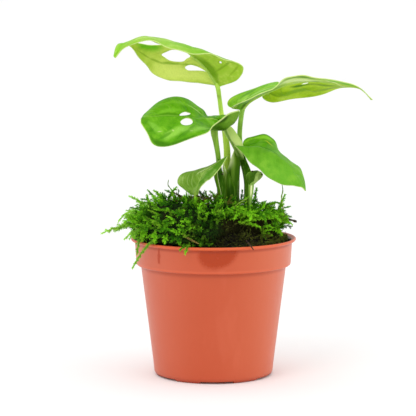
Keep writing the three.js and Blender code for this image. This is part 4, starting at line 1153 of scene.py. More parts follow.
LEAVES = {
    "leaf_top_left": {
        "upper_first": True,
        "midrib": [(3, 0, 210), (-2, -2, 218), (-8, -4, 226), (-15, -7, 232), (-24, -10, 239),
                   (-35, -14, 244), (-45, -18, 246), (-55, -22, 245), (-65, -26, 238),
                   (-70, -28, 231)],
        "near": [(5, -1, 210), (17.5, -9.5, 215.5), (21, -17, 225), (10, -25, 229.6),
                 (-2, -31, 234), (-17, -35, 235), (-31, -37, 239), (-46, -36, 244),
                 (-62, -31, 239), (-70, -29, 231)],
        "far": [(0, 1, 211), (-10, 6, 212), (-21, 9, 213), (-33, 10, 214), (-43, 9, 218),
                (-48, 6, 224), (-54, 0, 231), (-60, -8, 239), (-68, -18, 241), (-71, -27, 232)],
        "near_belly": belly(10, {3: (0, 0, 2.2), 4: (0, 0, 1.6), 5: (0, 0, 2), 6: (0, 0, 1.4),
                                 7: (0, 0, 1.6), 8: (0, 0, 0.8)}),
        "far_belly": belly(10, {1: (0, 3, 0), 2: (0, 5, 0), 3: (0, 6, 0), 4: (-1, 6, 2),
                                5: (-1, 6, 2), 6: (-1, 5, 2), 7: (0, 3, 1)}),
        "holes": [
            [(0.488, -0.506), (0.452, -0.523), (0.418, -0.508), (0.386, -0.434), (0.354, -0.302),
             (0.352, -0.185), (0.345, -0.05), (0.372, -0.02), (0.413, -0.08), (0.457, -0.2),
             (0.474, -0.352)],
            [(0.313, -0.432), (0.275, -0.488), (0.232, -0.416), (0.189, -0.251), (0.155, -0.075),
             (0.191, -0.131), (0.245, -0.206), (0.3, -0.281)],
            [(0.726, -0.584), (0.685, -0.526), (0.637, -0.467), (0.59, -0.384), (0.541, -0.254),
             (0.578, -0.25), (0.625, -0.24), (0.668, -0.28), (0.706, -0.433)],
            [(0.257, 0.545), (0.244, 0.507), (0.242, 0.468), (0.252, 0.473), (0.264, 0.513),
             (0.266, 0.553)],
        ],
    },
    "leaf_mid_left": {
        "upper_first": True,
        "midrib": [(4, -7, 185), (2, -8, 186), (-1, -9, 187), (-4, -10, 187), (-7, -12, 188),
                   (-11, -15, 188), (-17, -19, 189), (-25, -25, 190), (-33, -32, 191),
                   (-41, -40, 191), (-47, -47, 191), (-51, -54, 189)],
        "near": [(5, -8, 184), (15, -14, 192.4), (18, -20, 194), (12, -25, 192.6), (6, -29, 189),
                 (0, -33, 184), (-6, -38, 179), (-21, -45, 173.8), (-34.6, -51, 170.4),
                 (-42, -54.6, 172.6), (-46.4, -56.6, 180.6), (-51, -55, 188)],
        "far": [(5, -6, 186), (11, -3, 189), (9, 0, 189), (4, 2, 189), (-1, 3, 188), (-5, 3, 189),
                (-9, 2, 194), (-18, -1, 200), (-28.6, -6, 203), (-40, -17, 199), (-48, -34, 193),
                (-51, -53, 190)],
        "near_belly": belly(12, {1: (4, 0, -4), 2: (5, 0, -6), 3: (7, 0, -8), 4: (7, 0, -9),
                                 5: (5, 0, -6), 6: (1, 0, -1), 7: (0, 0, 1), 8: (0, 0, 1),
                                 9: (0, 0, 1)}),
        "far_belly": belly(12, {6: (0, 0, 1), 7: (0, 0, 2), 8: (0, 0, 2), 9: (0, 0, 1)}),
        "holes": [
            [(0.638, -0.028), (0.629, -0.121), (0.608, -0.216), (0.583, -0.236), (0.562, -0.198),
             (0.576, -0.095), (0.604, -0.04)],
            [(0.64, 0.316), (0.627, 0.199), (0.6, 0.101), (0.573, 0.067), (0.556, 0.138),
             (0.565, 0.274), (0.581, 0.393), (0.604, 0.458), (0.629, 0.438)],
        ],
    },
    "leaf_right": {
        "upper_first": False,
        "midrib": [(21, 1, 193), (23, 0, 196), (26, -1, 199), (31, -2, 202), (37, -3, 205),
                   (44, -4, 208), (51, -5, 211), (60, -6, 213), (70, -7, 214), (81, -8, 213),
                   (93, -9, 211), (105, -9, 209), (114, -9, 200)],
        "near": [(19, -1, 193), (13, -8, 195), (19, -16, 199), (29, -22, 204), (38, -26, 208),
                 (45, -28, 212), (52, -29, 218), (61, -30, 219), (71, -28, 218), (81, -24, 216),
                 (92, -17, 214.3), (104, -10.4, 209.7), (115, -10, 200)],
        "far": [(20, 3, 194), (11, 8, 195), (12, 13, 200), (25, 18, 206), (37, 21, 209.5),
                (48, 22, 212), (35.5, 17.5, 202.5), (43, 15.5, 198), (60, 14, 200.2),
                (79, 10, 203.8), (93.5, 3, 208.9), (105, -7.4, 208.6), (114, -8, 200)],
        "near_belly": belly(13, {6: (0, 0, -1), 7: (0, 0, -1), 8: (0, 0, -1)}),
        "far_belly": belly(13, {1: (0, 0, -1), 2: (0, 0, -1), 3: (0, 0, -1), 4: (0, 0, -1),
                                5: (0, 0, -1), 6: (0, 0, -1), 7: (0, 0, -1)}),
        "holes": [
            [(0.626, -0.11), (0.64, -0.061), (0.665, -0.065), (0.663, -0.13), (0.645, -0.145)],
        ],
    },
    "leaf_lower_right": {
        "upper_first": False,
        "midrib": [(21, -8, 165), (26, -10, 166.2), (31, -12, 167.2), (37, -15, 165.8),
                   (42, -19, 164), (48, -23, 160), (54, -28, 155), (58, -32, 150), (63, -36, 144),
                   (65, -39, 138)],
        "near": [(19, -10, 164), (15, -13, 168), (20, -18, 164), (25, -24, 158), (32, -30, 153),
                 (39, -35, 147), (48, -40, 143), (57, -42, 142), (62, -42, 141), (65, -40, 138)],
        "far": [(21, -7, 167), (22, -4, 171), (26, -1, 173), (36, 2, 175), (43, 3, 172),
                (47, 0, 164), (53, -6, 158), (61, -14, 153), (64, -26, 147), (65, -38, 139)],
        "near_belly": belly(10, {2: (0, 0, 1), 3: (0, 0, 1), 4: (0, 0, 2), 5: (0, 0, 2),
                                 6: (0, 0, 1), 7: (0, 0, 1)}),
        "far_belly": belly(10, {2: (0, 0, -1), 3: (0, 0, -1), 4: (0, 0, -1), 6: (0, 0, 1),
                                7: (0, 0, 1)}),
    },
    "leaf_small": {
        "upper_first": True,
        "midrib": [(-13, -16, 132), (-12, -17, 137), (-10, -18, 143), (-7, -19, 149),
                   (-2, -19, 153), (4, -18, 157), (10, -16, 161)],
        "near": [(-11, -18, 133), (-10, -22, 138), (-6, -25, 143), (-2, -27, 146), (2, -26, 150),
                 (6, -23, 155), (10, -17, 161)],
        "far": [(-16, -14, 133), (-22, -11, 137), (-26, -8, 141), (-23, -7, 147), (-13, -9, 150),
                (-2, -13, 154), (10, -15, 161)],
    },
    "leaf_young": {
        "upper_first": True,
        "midrib": [(26.9, -22.5, 140.8), (28.6, -22.8, 143.6), (29.4, -23, 146.1),
                   (29.8, -23.2, 148.2), (30.8, -23.4, 149.9), (31.7, -23.6, 151.1)],
        "near": [(25.2, -23.3, 141.2), (24.3, -25, 143.7), (23.1, -27, 146.3), (23.7, -28, 149),
                 (26.4, -27.5, 150.9), (31.3, -24.4, 151.3)],
        "far": [(28.6, -21.7, 140.8), (31, -20.5, 143), (33.6, -19.5, 145.1), (35.2, -19, 147.4),
                (34.2, -20, 149.5), (32, -23, 151)],
    },
}
print(len(LEAVES), "leaves with", sum(len(leaf.get("holes", ())) for leaf in LEAVES.values()),
      "natural holes")


def on_sheet(leaf, along, across):
    """A point of the bent sheet in millimetres: across runs from -1 at the far margin to 1."""
    half = "far" if across < 0 else "near"
    reach = abs(across)
    point = through(leaf["midrib"], along) * (1 - reach) + through(leaf[half], along) * reach
    lifts = leaf.get(half + "_belly")
    if lifts:
        point += through(lifts, along) * 4 * reach * (1 - reach)
    return point


def sheet_normal(leaf, along, across):
    """The direction square to the sheet, which points up where the upper face is first."""
    step = 0.02
    centre = min(max(along, step), 1 - 2 * step)
    ahead = on_sheet(leaf, centre + step, across) - on_sheet(leaf, centre - step, across)
    inner, outer = max(across - 0.06, -1), min(across + 0.06, 1)
    aside = on_sheet(leaf, centre, outer) - on_sheet(leaf, centre, inner)
    return ahead.cross(aside).normalized()


# %% [markdown]
# The tissue swells up between the side veins. How many of them each half of a leaf has, and how
# far they bend towards its tip, is used twice: for the swelling of the mesh and for the colours,
# so that both agree.

# %% The pattern of the side veins
VEINS = {
    "leaf_top_left": (8, 0.22), "leaf_mid_left": (8, 0.2), "leaf_right": (9, 0.22),
    "leaf_lower_right": (8, 0.22), "leaf_small": (8, 0.75), "leaf_young": (5, 0.7),
}
VEIN_POWER = 1.5
HALF_SHIFT = 0.45
RIPPLE_TURN = 41


def vein_wave(name, along, across):
    """Runs from 0 on a side vein to 1 midway between two."""
    count, bend = VEINS[name]
    phase = (along - abs(across) ** VEIN_POWER * bend) * count + (HALF_SHIFT if across > 0 else 0)
    return abs(phase % 1 - 0.5) * 2


def dressed_point(name, along, across, quilt, ripple):
    """The sheet with the tissue swelling up between the veins and a gently wavy margin."""
    leaf = LEAVES[name]
    reach = abs(across)
    up = sheet_normal(leaf, along, across) * (1 if leaf["upper_first"] else -1)
    swell = quilt * vein_wave(name, along, across) ** 0.7 * math.sin(math.pi * reach) ** 0.6
    ends = math.sin(math.pi * min(max(along, 0), 1))
    wave = ripple * math.sin(along * RIPPLE_TURN + (2 if across > 0 else 0)) * reach ** 3
    return on_sheet(leaf, along, across) + up * (swell + wave) * ends


# %% [markdown]
# The holes of this plant grow with the leaf, so their rims are smooth. A boolean would leave long
# thin faces along them. Instead, the faces inside an outline are deleted while the blade is still
# a flat grid, and the ragged edge that is left is drawn onto the outline.

# %% Natural holes
def smooth_ring(corners, count):
    """A closed smooth outline through a few corners, in the grid's own x and y."""
    wrapped = [corners[-1], *corners, corners[0], corners[1]]
    flat = [(2 * along - 1, across, 0) for along, across in wrapped]
    total = len(wrapped) - 1
    return [through(flat, (1 + len(corners) * k / count) / total) for k in range(count)]


def is_inside(point, ring):
    inside = False
    for first, second in zip(ring, ring[1:] + ring[:1]):
        if (first.y > point.y) != (second.y > point.y):
            crossing = first.x + (point.y - first.y) / (second.y - first.y) * (second.x - first.x)
            if point.x < crossing:
                inside = not inside
    return inside


def nearest_on(point, ring):
    """The nearest place on an outline. Across counts less than along, as the blade is narrower."""
    best, best_gap = point, math.inf
    for first, second in zip(ring, ring[1:] + ring[:1]):
        run = second - first
        share = max(0, min(1, (point - first).dot(run) / run.length_squared))
        place = first + run * share
        gap = (place.x - point.x) ** 2 + 0.2 * (place.y - point.y) ** 2
        if gap < best_gap:
            best, best_gap = place, gap
    return best


def cut_hole(bm, corners):
    """Deletes the faces inside an outline and draws the ragged edge that is left onto it."""
    ring = smooth_ring(corners, 72)
    gone = [face for face in bm.faces if is_inside(face.calc_center_median(), ring)]
    touched = {vert for face in gone for vert in face.verts}
    bmesh.ops.delete(bm, geom=gone, context="FACES")
    for vert in touched:
        if vert.is_valid and vert.is_boundary:
            vert.co = nearest_on(vert.co, ring)


# %% [markdown]
# The two faces of a leaf differ. The upper one is a saturated green with sunken veins; the
# underside is duller and more yellow, because light shines through it. So a blade has three
# materials: the upper face, the underside and the thin pale margin. Each half of a face runs
# between two colours, from its base to its tip.
# Painted shade in folds, painted shadows, painted sheens and highlights, painted light that shines
# through, and the veins that belong to one leaf are marks: soft ovals on the flat blade. Each mark
# runs from one place along and across the blade to another, and its half width, colour and
# strength follow.

# %% Marks on the leaves
MARKS = {
    "leaf_top_left_upper": [
        # The first mark is a painted highlight along the strip
        (0.86, 0.6, 0.74, 0.78, 0.01, (196, 226, 136), 0.7),
        (0.62, 0.6, 0.46, 0.7, 0.03, (108, 182, 24), 0.5),
        (0.4, 0.6, 0.3, 0.8, 0.02, (172, 212, 100), 0.5),
    ],
    "leaf_top_left_under": [
        # This mark is painted light that shines through the far half
        (0.43, -0.84, 0.08, -0.45, 0.09, (228, 242, 124), 0.85),
        (0.7, -0.84, 0.55, -0.775, 0.008, (126, 168, 34), 0.6),
        (0.56, -0.78, 0.44, -0.67, 0.009, (126, 168, 34), 0.7),
        (0.45, -0.68, 0.36, -0.42, 0.011, (132, 174, 40), 0.8),
        (0.37, -0.42, 0.24, -0.12, 0.011, (146, 184, 52), 0.6),
        (0.69, -0.59, 0.55, -0.37, 0.05, (112, 192, 30), 1.0),
        # This mark is a painted shadow along the rib on the near half
        (0.33, 0.04, 0.07, 0.18, 0.045, (100, 146, 14), 0.8),
        (0.28, 0.82, 0.15, 0.2, 0.01, (122, 162, 30), 0.55),
        (0.235, 0.9, 0.14, 0.66, 0.009, (122, 162, 30), 0.5),
    ],
    "leaf_mid_left_upper": [
        (0.78, -0.54, 0.6, -0.57, 0.026, (132, 196, 48), 0.6),
        (0.61, -0.575, 0.485, -0.55, 0.009, (196, 224, 124), 0.8),
        (0.8, -0.13, 0.66, -0.22, 0.026, (132, 198, 50), 0.6),
        (0.87, -0.03, 0.5, -0.02, 0.022, (72, 136, 6), 0.75),
        (0.87, 0.36, 0.79, 0.54, 0.038, (136, 200, 62), 0.7),
        (0.715, 0.72, 0.65, 0.56, 0.04, (150, 208, 74), 0.85),
        (0.645, 0.62, 0.58, 0.5, 0.03, (144, 202, 78), 0.6),
        (0.6, 0.72, 0.5, 0.58, 0.036, (146, 204, 80), 0.75),
        (0.36, 0.08, 0.26, 0.0, 0.04, (136, 200, 52), 0.8),
        (0.83, 0.88, 0.7, 0.98, 0.028, (60, 120, 6), 0.95),
        (0.69, 0.97, 0.6, 0.98, 0.02, (60, 120, 6), 0.8),
        (0.775, 0.8, 0.69, 0.6, 0.014, (74, 140, 14), 0.7),
        (0.665, 0.88, 0.6, 0.68, 0.018, (74, 140, 14), 0.6),
        (0.6, 0.62, 0.57, 0.46, 0.013, (80, 146, 20), 0.6),
        (0.795, 0.59, 0.765, 0.56, 0.005, (196, 222, 130), 0.7),
        (0.69, 0.55, 0.684, 0.6, 0.006, (196, 222, 130), 0.7),
        (0.602, 0.72, 0.598, 0.73, 0.007, (196, 222, 130), 0.5),
    ],
    "leaf_mid_left_under": [
        # The first mark is painted shade below a fold
        (0.47, 0.97, 0.37, 0.6, 0.034, (50, 92, 2), 0.85),
        (0.3, 0.95, 0.42, 0.98, 0.012, (36, 72, 0), 0.8),
        (0.16, 0.88, 0.29, 0.82, 0.05, (122, 166, 54), 0.6),
        (0.1, 0.5, 0.14, 0.75, 0.024, (76, 122, 12), 0.7),
    ],
    "leaf_right_upper": [
        # The first mark is painted shade along a crease of the far lobe
        (0.21, -0.66, 0.3, -0.92, 0.022, (84, 150, 14), 0.9),
        (0.14, -0.95, 0.18, -0.9, 0.018, (160, 206, 50), 0.8),
        (0.3, -0.42, 0.46, -0.5, 0.032, (100, 178, 34), 0.8),
        (0.33, -0.94, 0.42, -0.76, 0.03, (110, 180, 46), 0.75),
        (0.15, -0.35, 0.42, -0.6, 0.008, (206, 230, 146), 0.5),
    ],
    "leaf_right_under": [
        (0.1, 0.45, 0.44, 0.62, 0.07, (98, 164, 38), 0.75),
        # A painted sheen on the near half, then two streaks of painted shade where it ripples
        (0.5, 0.62, 0.66, 0.5, 0.07, (216, 236, 156), 0.95),
        (0.53, 0.92, 0.69, 0.86, 0.026, (96, 146, 36), 0.95),
        (0.62, 0.3, 0.78, 0.26, 0.022, (96, 146, 36), 0.9),
        (0.59, -0.18, 0.67, -0.17, 0.022, (78, 130, 18), 0.95),
        (0.53, -0.04, 0.6, 0.12, 0.012, (228, 240, 186), 0.9),
        (0.6, 0.14, 0.7, 0.42, 0.014, (228, 240, 186), 0.9),
        (0.68, -0.14, 0.88, -0.34, 0.026, (104, 144, 34), 0.75),
        (0.57, -0.52, 0.69, -0.46, 0.045, (116, 164, 0), 0.9),
        (0.5, -0.6, 0.58, -0.66, 0.014, (116, 160, 10), 0.8),
        (0.74, -0.62, 0.88, -0.5, 0.034, (116, 152, 50), 0.85),
        (0.77, 0.85, 0.94, 0.4, 0.06, (112, 186, 44), 0.95),
        (0.75, 0.62, 0.81, 0.25, 0.012, (222, 238, 176), 0.9),
        (0.81, 0.25, 0.845, -0.5, 0.01, (222, 238, 176), 0.8),
        (0.02, 0.1, 0.18, 0.2, 0.05, (82, 126, 24), 0.95),
        (0.08, 0.95, 0.48, 0.97, 0.026, (230, 242, 186), 1.0),
    ],
    "leaf_lower_right_upper": [
        (0.0, 0.25, 0.15, 0.35, 0.05, (84, 142, 30), 0.75),
        # The next two marks are painted highlights on the far lobe
        (0.24, -0.86, 0.46, -0.82, 0.03, (144, 210, 48), 0.9),
        (0.07, -0.74, 0.2, -0.82, 0.03, (138, 204, 40), 0.85),
        (0.11, -0.25, 0.275, -0.53, 0.013, (62, 130, 2), 0.8),
        (0.26, -0.53, 0.4, -0.5, 0.011, (62, 130, 2), 0.7),
        # This mark is a painted shadow along the midrib
        (0.1, -0.04, 0.56, -0.03, 0.026, (66, 134, 10), 0.85),
        (0.34, -0.66, 0.455, -0.46, 0.007, (214, 196, 56), 0.8),
        (0.524, -0.01, 0.53, 0.01, 0.006, (28, 36, 8), 1.0),
    ],
    "leaf_small_upper": [
        (0.5, -0.26, 0.7, -0.08, 0.02, (196, 218, 142), 0.85),
        (0.5, -0.82, 0.28, -0.76, 0.008, (166, 200, 104), 0.55),
        (0.5, -0.62, 0.24, -0.5, 0.008, (166, 200, 104), 0.5),
        (0.48, -0.42, 0.2, -0.28, 0.008, (166, 200, 104), 0.5),
        (0.06, -0.3, 0.26, 0.1, 0.045, (152, 188, 96), 0.7),
        (0.36, 0.5, 0.78, 0.4, 0.07, (84, 150, 20), 0.85),
        (0.56, 0.1, 0.76, 0.2, 0.009, (180, 208, 124), 0.6),
        (0.46, -0.3, 0.57, -0.36, 0.009, (84, 134, 18), 0.7),
    ],
}
MARKS["leaf_small_under"] = MARKS["leaf_small_upper"]

# %% Leaf finish
BLADE_SHAPE = 0.28


def streak(finish, flat, ragged, places, half_width):
    """A soft oval that is drawn on the flat blade from one place to another."""
    first, last = (Vector((places[k], (places[k + 1] + 1) * BLADE_SHAPE)) for k in (0, 2))
    run = last - first
    inputs = {"Vector": flat, "Location": (*((first + last) / 2), 0),
              "Rotation": (0, 0, math.atan2(run.y, run.x)),
              "Scale": (run.length / 2 + half_width, half_width, 1)}
    oval = finish.node("ShaderNodeMapping", {"vector_type": "TEXTURE"}, inputs).out()
    distance = finish.node("ShaderNodeVectorMath", {"operation": "LENGTH"}, {0: oval}).out("Value")
    return finish.fading(distance + ragged, 0.35, 1.3)


def leaf_face(leaf_name, side, near, far, patch, shade, line, turn=(0.35, 0.65), edging=0.5,
              veining=0.36):
    """near and far are the two colours of each half, patch and shade those of its blotches."""
    face_name = leaf_name + "_" + side
    finish = Finish(face_name, Roughness=0.45, IOR=1.42, Specular_IOR_Level=0.1)
    uv = finish.sheet_uv()
    along, height, _ = finish.split(uv)
    across = height * 2 - 1
    reach = abs(across)
    place = finish.place()
    on_near = finish.smooth(across, -0.02, 0.02)
    to_tip = finish.smooth(along, *turn)
    finish.base = finish.mix(on_near, finish.mix(to_tip, *far), finish.mix(to_tip, *near))
    blotch = finish.noise(place, 105, 3, 0.6)
    finish.paint(finish.smooth(blotch, 0.49, 0.66) * 0.75, patch)
    finish.paint(finish.smooth(blotch, 0.47, 0.32) * 0.45, shade)
    # The side veins, which fade out towards the margin and here and there
    count, bend = VEINS[leaf_name]
    phase = (along - reach ** VEIN_POWER * bend) * count + on_near * HALF_SHIFT
    wave = abs(phase.fraction() - 0.5) * 2
    fade = finish.fading(reach, 0.75, 0.97) * finish.smooth(reach, 0.02, 0.1)
    fickle = finish.smooth(finish.noise(place, 62, 2), 0.36, 0.6)
    side_vein = finish.fading(wave, 0.02, 0.2) * fade * fickle
    finish.paint(finish.smooth(wave, 0.35, 1.0) * fade * 0.22, patch)
    finish.paint(side_vein * veining, shade)
    # The marks, with ragged outlines
    flat = finish.stretched(uv, (1, 2 * BLADE_SHAPE, 1))
    ragged = (finish.noise(place, 260, 3) - 0.5) * 0.7
    for *places, half_width, rgb, strength in MARKS.get(face_name, ()):
        finish.paint(streak(finish, flat, ragged, places, half_width) * strength, rgb)
    # The midrib, the net of the finest veins, specks and the thin pale edge
    midrib = finish.fading(reach, 0.008, 0.035)
    finish.paint(midrib * 0.75, line)
    net = finish.cells(place, 560)
    finish.paint(finish.fading(net, 0.0, 0.1) * 0.14, shade)
    finish.paint(finish.smooth(finish.noise(place, 1300, 2), 0.72, 0.78) * 0.3, line)
    finish.paint(finish.smooth(reach, 0.972, 0.998) * edging, (214, 232, 150))
    relief = -1 if side == "upper" else 1
    raised = side_vein * relief * veining * 2.5 + midrib * relief
    raised = raised + finish.smooth(net, 0.0, 0.3) * 0.25
    roughness = 0.42 + finish.noise(place, 300, 2) * 0.16
    return finish.finished(raised, 0.0005, 0.6, Roughness=roughness)


def leaf_margin(name, light, dark):
    finish = Finish(name, Roughness=0.45, Specular_IOR_Level=0.1)
    finish.give(Base_Color=finish.mix(finish.noise(finish.place(), 500, 2), light, dark))
    return finish.material


pale_margin = leaf_margin("leaf_margin", (218, 236, 150), (182, 214, 104))
green_margin = leaf_margin("young_margin", (110, 150, 50), (80, 124, 24))
# The young leaf is the same on both faces
YOUNG = [((56, 98, 0), (62, 106, 4)), ((178, 208, 116), (160, 194, 92)),
         (84, 126, 22), (44, 84, 0), (150, 184, 84)]
LEAF_FACES = {tuple(row[:2]): leaf_face(*row, **extra) for *row, extra in [
    ("leaf_top_left", "upper", ((114, 178, 24), (148, 198, 60)), ((106, 180, 20), (136, 200, 34)),
     (172, 210, 94), (100, 168, 16), (204, 230, 136), {"edging": 0.85}),
    ("leaf_top_left", "under", ((168, 206, 58), (172, 210, 60)), ((208, 226, 100), (184, 212, 72)),
     (204, 224, 98), (150, 188, 50), (196, 220, 110), {"veining": 0.2}),
    ("leaf_mid_left", "upper", ((98, 166, 18), (96, 166, 20)), ((88, 156, 8), (94, 164, 12)),
     (132, 194, 42), (62, 134, 4), (126, 184, 52), {"edging": 0.12}),
    ("leaf_mid_left", "under", ((84, 130, 16), (76, 122, 14)), ((84, 134, 14), (110, 158, 36)),
     (104, 152, 36), (44, 86, 0), (160, 194, 86), {"turn": (0.3, 0.46), "edging": 0.8}),
    ("leaf_right", "upper", ((130, 194, 46), (112, 186, 24)), ((130, 190, 36), (112, 188, 22)),
     (160, 212, 74), (84, 150, 14), (192, 226, 120), {}),
    ("leaf_right", "under", ((98, 152, 36), (160, 196, 78)), ((156, 196, 18), (164, 202, 24)),
     (182, 214, 56), (112, 160, 10), (206, 226, 140), {"turn": (0.36, 0.56), "edging": 0.8}),
    ("leaf_lower_right", "upper", ((102, 166, 34), (106, 172, 42)), ((90, 160, 4), (102, 170, 26)),
     (126, 184, 50), (80, 146, 18), (118, 180, 50), {"edging": 0.3, "veining": 0.14}),
    ("leaf_lower_right", "under", ((150, 190, 64), (150, 190, 64)),
     ((158, 196, 68), (158, 196, 68)), (176, 208, 86), (120, 164, 40), (196, 218, 120), {}),
    ("leaf_small", "upper", ((142, 188, 72), (86, 150, 18)), ((124, 170, 54), (116, 160, 44)),
     (150, 190, 84), (84, 134, 20), (166, 202, 106), {"turn": (0.1, 0.36)}),
    ("leaf_small", "under", ((142, 188, 72), (86, 148, 18)), ((130, 176, 60), (120, 164, 50)),
     (156, 194, 92), (84, 134, 22), (170, 202, 106), {"turn": (0.1, 0.36), "edging": 0.3}),
    ("leaf_young", "upper", *YOUNG, {"edging": 0.12}),
    ("leaf_young", "under", *YOUNG, {"edging": 0.12}),
]}


# %% [markdown]
# Now each blade is put together. The holes are cut into its flat grid and the flat places are
# kept as a UV map, and only then is it bent onto its curves. It stops just short of the point
# where these meet, and Solidify turns the sheet into a thin solid with a face for each material.

# %% The blades
BLADE_THICKNESS = 0.6
BLADE_END = 0.993


def blade(name, rows, columns, quilt, ripple):
    leaf = LEAVES[name]
    bm = flat_grid(rows, columns)
    for corners in leaf.get("holes", ()):
        cut_hole(bm, corners)
    keep_uv(bm)
    for vert in bm.verts:
        along, across = (vert.co.x / 2 + 0.5) * BLADE_END, vert.co.y
        vert.co = dressed_point(name, along, across, quilt, ripple) * MM
    bm.normal_update()
    sides = ["upper", "under"] if leaf["upper_first"] else ["under", "upper"]
    materials = [LEAF_FACES[name, side] for side in sides]
    materials.append(green_margin if name == "leaf_young" else pale_margin)
    piece = make_piece(bm, name + "_blade", materials, [name], 180)
    thicken(piece, BLADE_THICKNESS * MM, 1)


# Each blade: its rows and columns, how far it swells between the veins, and how far it ripples
for row in [
        ("leaf_top_left", 170, 60, 0.5, 0.5), ("leaf_mid_left", 160, 56, 0.5, 0.4),
        ("leaf_right", 180, 56, 0.5, 0.5), ("leaf_lower_right", 120, 44, 0.45, 0.35),
        ("leaf_small", 80, 36, 0.25, 0.08), ("leaf_young", 50, 28, 0.12, 0.04)]:
    blade(*row)

# %% [markdown]
# A midrib stands out on the underside as a round rib, which carries on from the petiole and
# tapers to the tip. It is extruded like a stalk, along a line just under the blade.


# %% Ribs under the blades
def rib(name, root, first=0.015, last=0.95, steps=26):
    leaf = LEAVES[name]
    below = -0.3 if leaf["upper_first"] else 0.3
    stations = []
    for step in range(steps + 1):
        share = step / steps
        along = first + (last - first) * share
        point = on_sheet(leaf, along, 0) + sheet_normal(leaf, along, 0) * below
        radius = root * (1 - share) ** 1.5 + 0.17
        stations.append((*point, radius))
    bm = stalk_bmesh(stations, 78, 10, Vector((0.05, 0.1, 1)))
    make_piece(bm, name + "_rib", [SKINS["rib"]], (), 60)


for name, root in [("leaf_top_left", 0.95), ("leaf_mid_left", 0.9), ("leaf_right", 1.0),
                   ("leaf_lower_right", 0.8), ("leaf_small", 0.5)]:
    rib(name, root)

# %% [markdown]
# ## Dead wood and dry strands
# Two twigs lie in the moss and a short one leans over the lip. They are stalks whose skin is
# pushed in and out by a noise field.


# %% Twigs
def bark(name, dark, light):
    finish = Finish(name, Roughness=0.85, Specular_IOR_Level=0.25)
    place = finish.place()
    grain = finish.noise(place, 900, 4, 0.6)
    finish.base = finish.mix(finish.smooth(grain, 0.35, 0.65), dark, light)
    finish.paint(finish.smooth(finish.noise(place, 260, 2), 0.58, 0.7) * 0.4, (110, 116, 50))
    return finish.finished(grain, 0.0006, 0.7)


def knobbly(bm, amount):
    """Pushes the skin in and out by a noise field, as bark and buds do."""
    bm.normal_update()
    for vert in bm.verts:
        vert.co += vert.normal * noise.fractal(vert.co * 420, 1.0, 2.0, 3) * amount * MM
    return bm


TWIG_RIGHT = [
    (34, -3, 118, 0.8), (43, -5, 117.6, 0.9), (51, -8, 115.3, 0.8), (56, -9.4, 114, 0.7),
    (59, -10, 113.1, 1.1, 0.9), (60, -10.3, 112.4, 0.4),
]
TWIG_FRONT = [
    (-27.9, -48, 110.9, 0.5), (-24, -50.4, 109.4, 0.9), (-20, -52.8, 107.4, 0.8),
    (-14, -56, 104.6, 0.7), (-10.4, -57.6, 103, 0.4),
]
TWIG_LIP = [
    (22.6, -52.4, 104.6, 0.5), (25.4, -55.8, 101.8, 0.5), (27.8, -58.6, 98.9, 0.3),
]
dark_bark = bark("bark_dark", (24, 16, 8), (74, 56, 34))
pale_bark = bark("bark_pale", (96, 74, 26), (150, 136, 66))
for name, stations, rings, sides, amount, finish, nodes in [
        ("twig_dark", TWIG_RIGHT, 60, 12, 0.35, dark_bark, ["twig_right"]),
        ("twig_pale", TWIG_FRONT, 50, 12, 0.25, pale_bark, ["twig_front"]),
        ("twig_on_lip", TWIG_LIP, 30, 10, 0.15, dark_bark, [])]:
    bm = knobbly(stalk_bmesh(stations, rings, sides), amount)
    make_piece(bm, name, [finish], nodes, 60)

# %% [markdown]
# The young leaf and a sheath carry small black scars. Colour alone would look printed on, so each
# one is a flattened ball, roughened like the twigs.

# %% Scars
SCARS = [(6.1, -12.7, 147.6), (27.5, -27.2, 151.0), (34.3, -20.2, 147.9)]
scars = bmesh.new()
for place in SCARS:
    form = Matrix.Translation(Vector(place) * MM) @ Matrix.Diagonal((0.75, 0.35, 0.6, 1))
    bmesh.ops.create_icosphere(scars, subdivisions=2, radius=MM, matrix=form)
make_piece(knobbly(scars, 0.15), "leaf_scars", [dark_bark], (), 60)

# %% [markdown]
# Where the moss leaves the peat bare, withered moss stems lie about in loose curls. Each is a thin
# three-sided tube that wanders over the dome from a random start, and stays above the peat and
# inside the pot. One group lies on the bare spot, one hangs on the moss behind it and one fills
# the gap along the front right rim.


# %% Dry strands
def dry_strand_finish():
    finish = Finish("dry_strands", Roughness=0.8, Specular_IOR_Level=0.2)
    place = finish.place()
    tone = finish.noise(place, 240, 2)
    finish.base = finish.mix(finish.smooth(tone, 0.42, 0.56), (34, 30, 6), (70, 74, 20))
    finish.paint(finish.smooth(tone, 0.58, 0.7), (104, 126, 40))
    return finish.finished(finish.noise(place, 2000, 2), 0.0002, 0.4)


INSIDE_RADIUS = 54.4


def strand(bm, start, heading, rise, length, thickness, joints=6):
    """One thin stem that wanders from its start and never sinks under the peat."""
    place = Vector(start)
    stations = []
    for joint in range(joints + 1):
        radius = thickness * (1 - 0.6 * joint / joints)
        stations.append((*place, radius))
        heading += chance.uniform(-0.8, 0.8)
        rise += chance.uniform(-0.6, 0.35)
        place = place + lean_out(heading, rise) * length / joints
        reach = math.hypot(place.x, place.y)
        if reach > INSIDE_RADIUS:
            place.xy *= INSIDE_RADIUS / reach
        ground = soil_height(min(reach, INSIDE_RADIUS)) + 0.4
        if place.z < ground:
            place.z = ground
            rise = 0.1
    extrude_stalk(bm, stations, 9, 3, Vector((0.1, 0.2, 1)))


def bare_spot(low=-104, high=-8, inner=26, outer=53):
    """A place on the bare part of the peat, between two headings and two radii."""
    heading = math.radians(chance.uniform(low, high))
    radius = math.sqrt(chance.uniform(inner ** 2, outer ** 2))
    return around_pot(heading, radius, soil_height(radius) + 0.4), heading


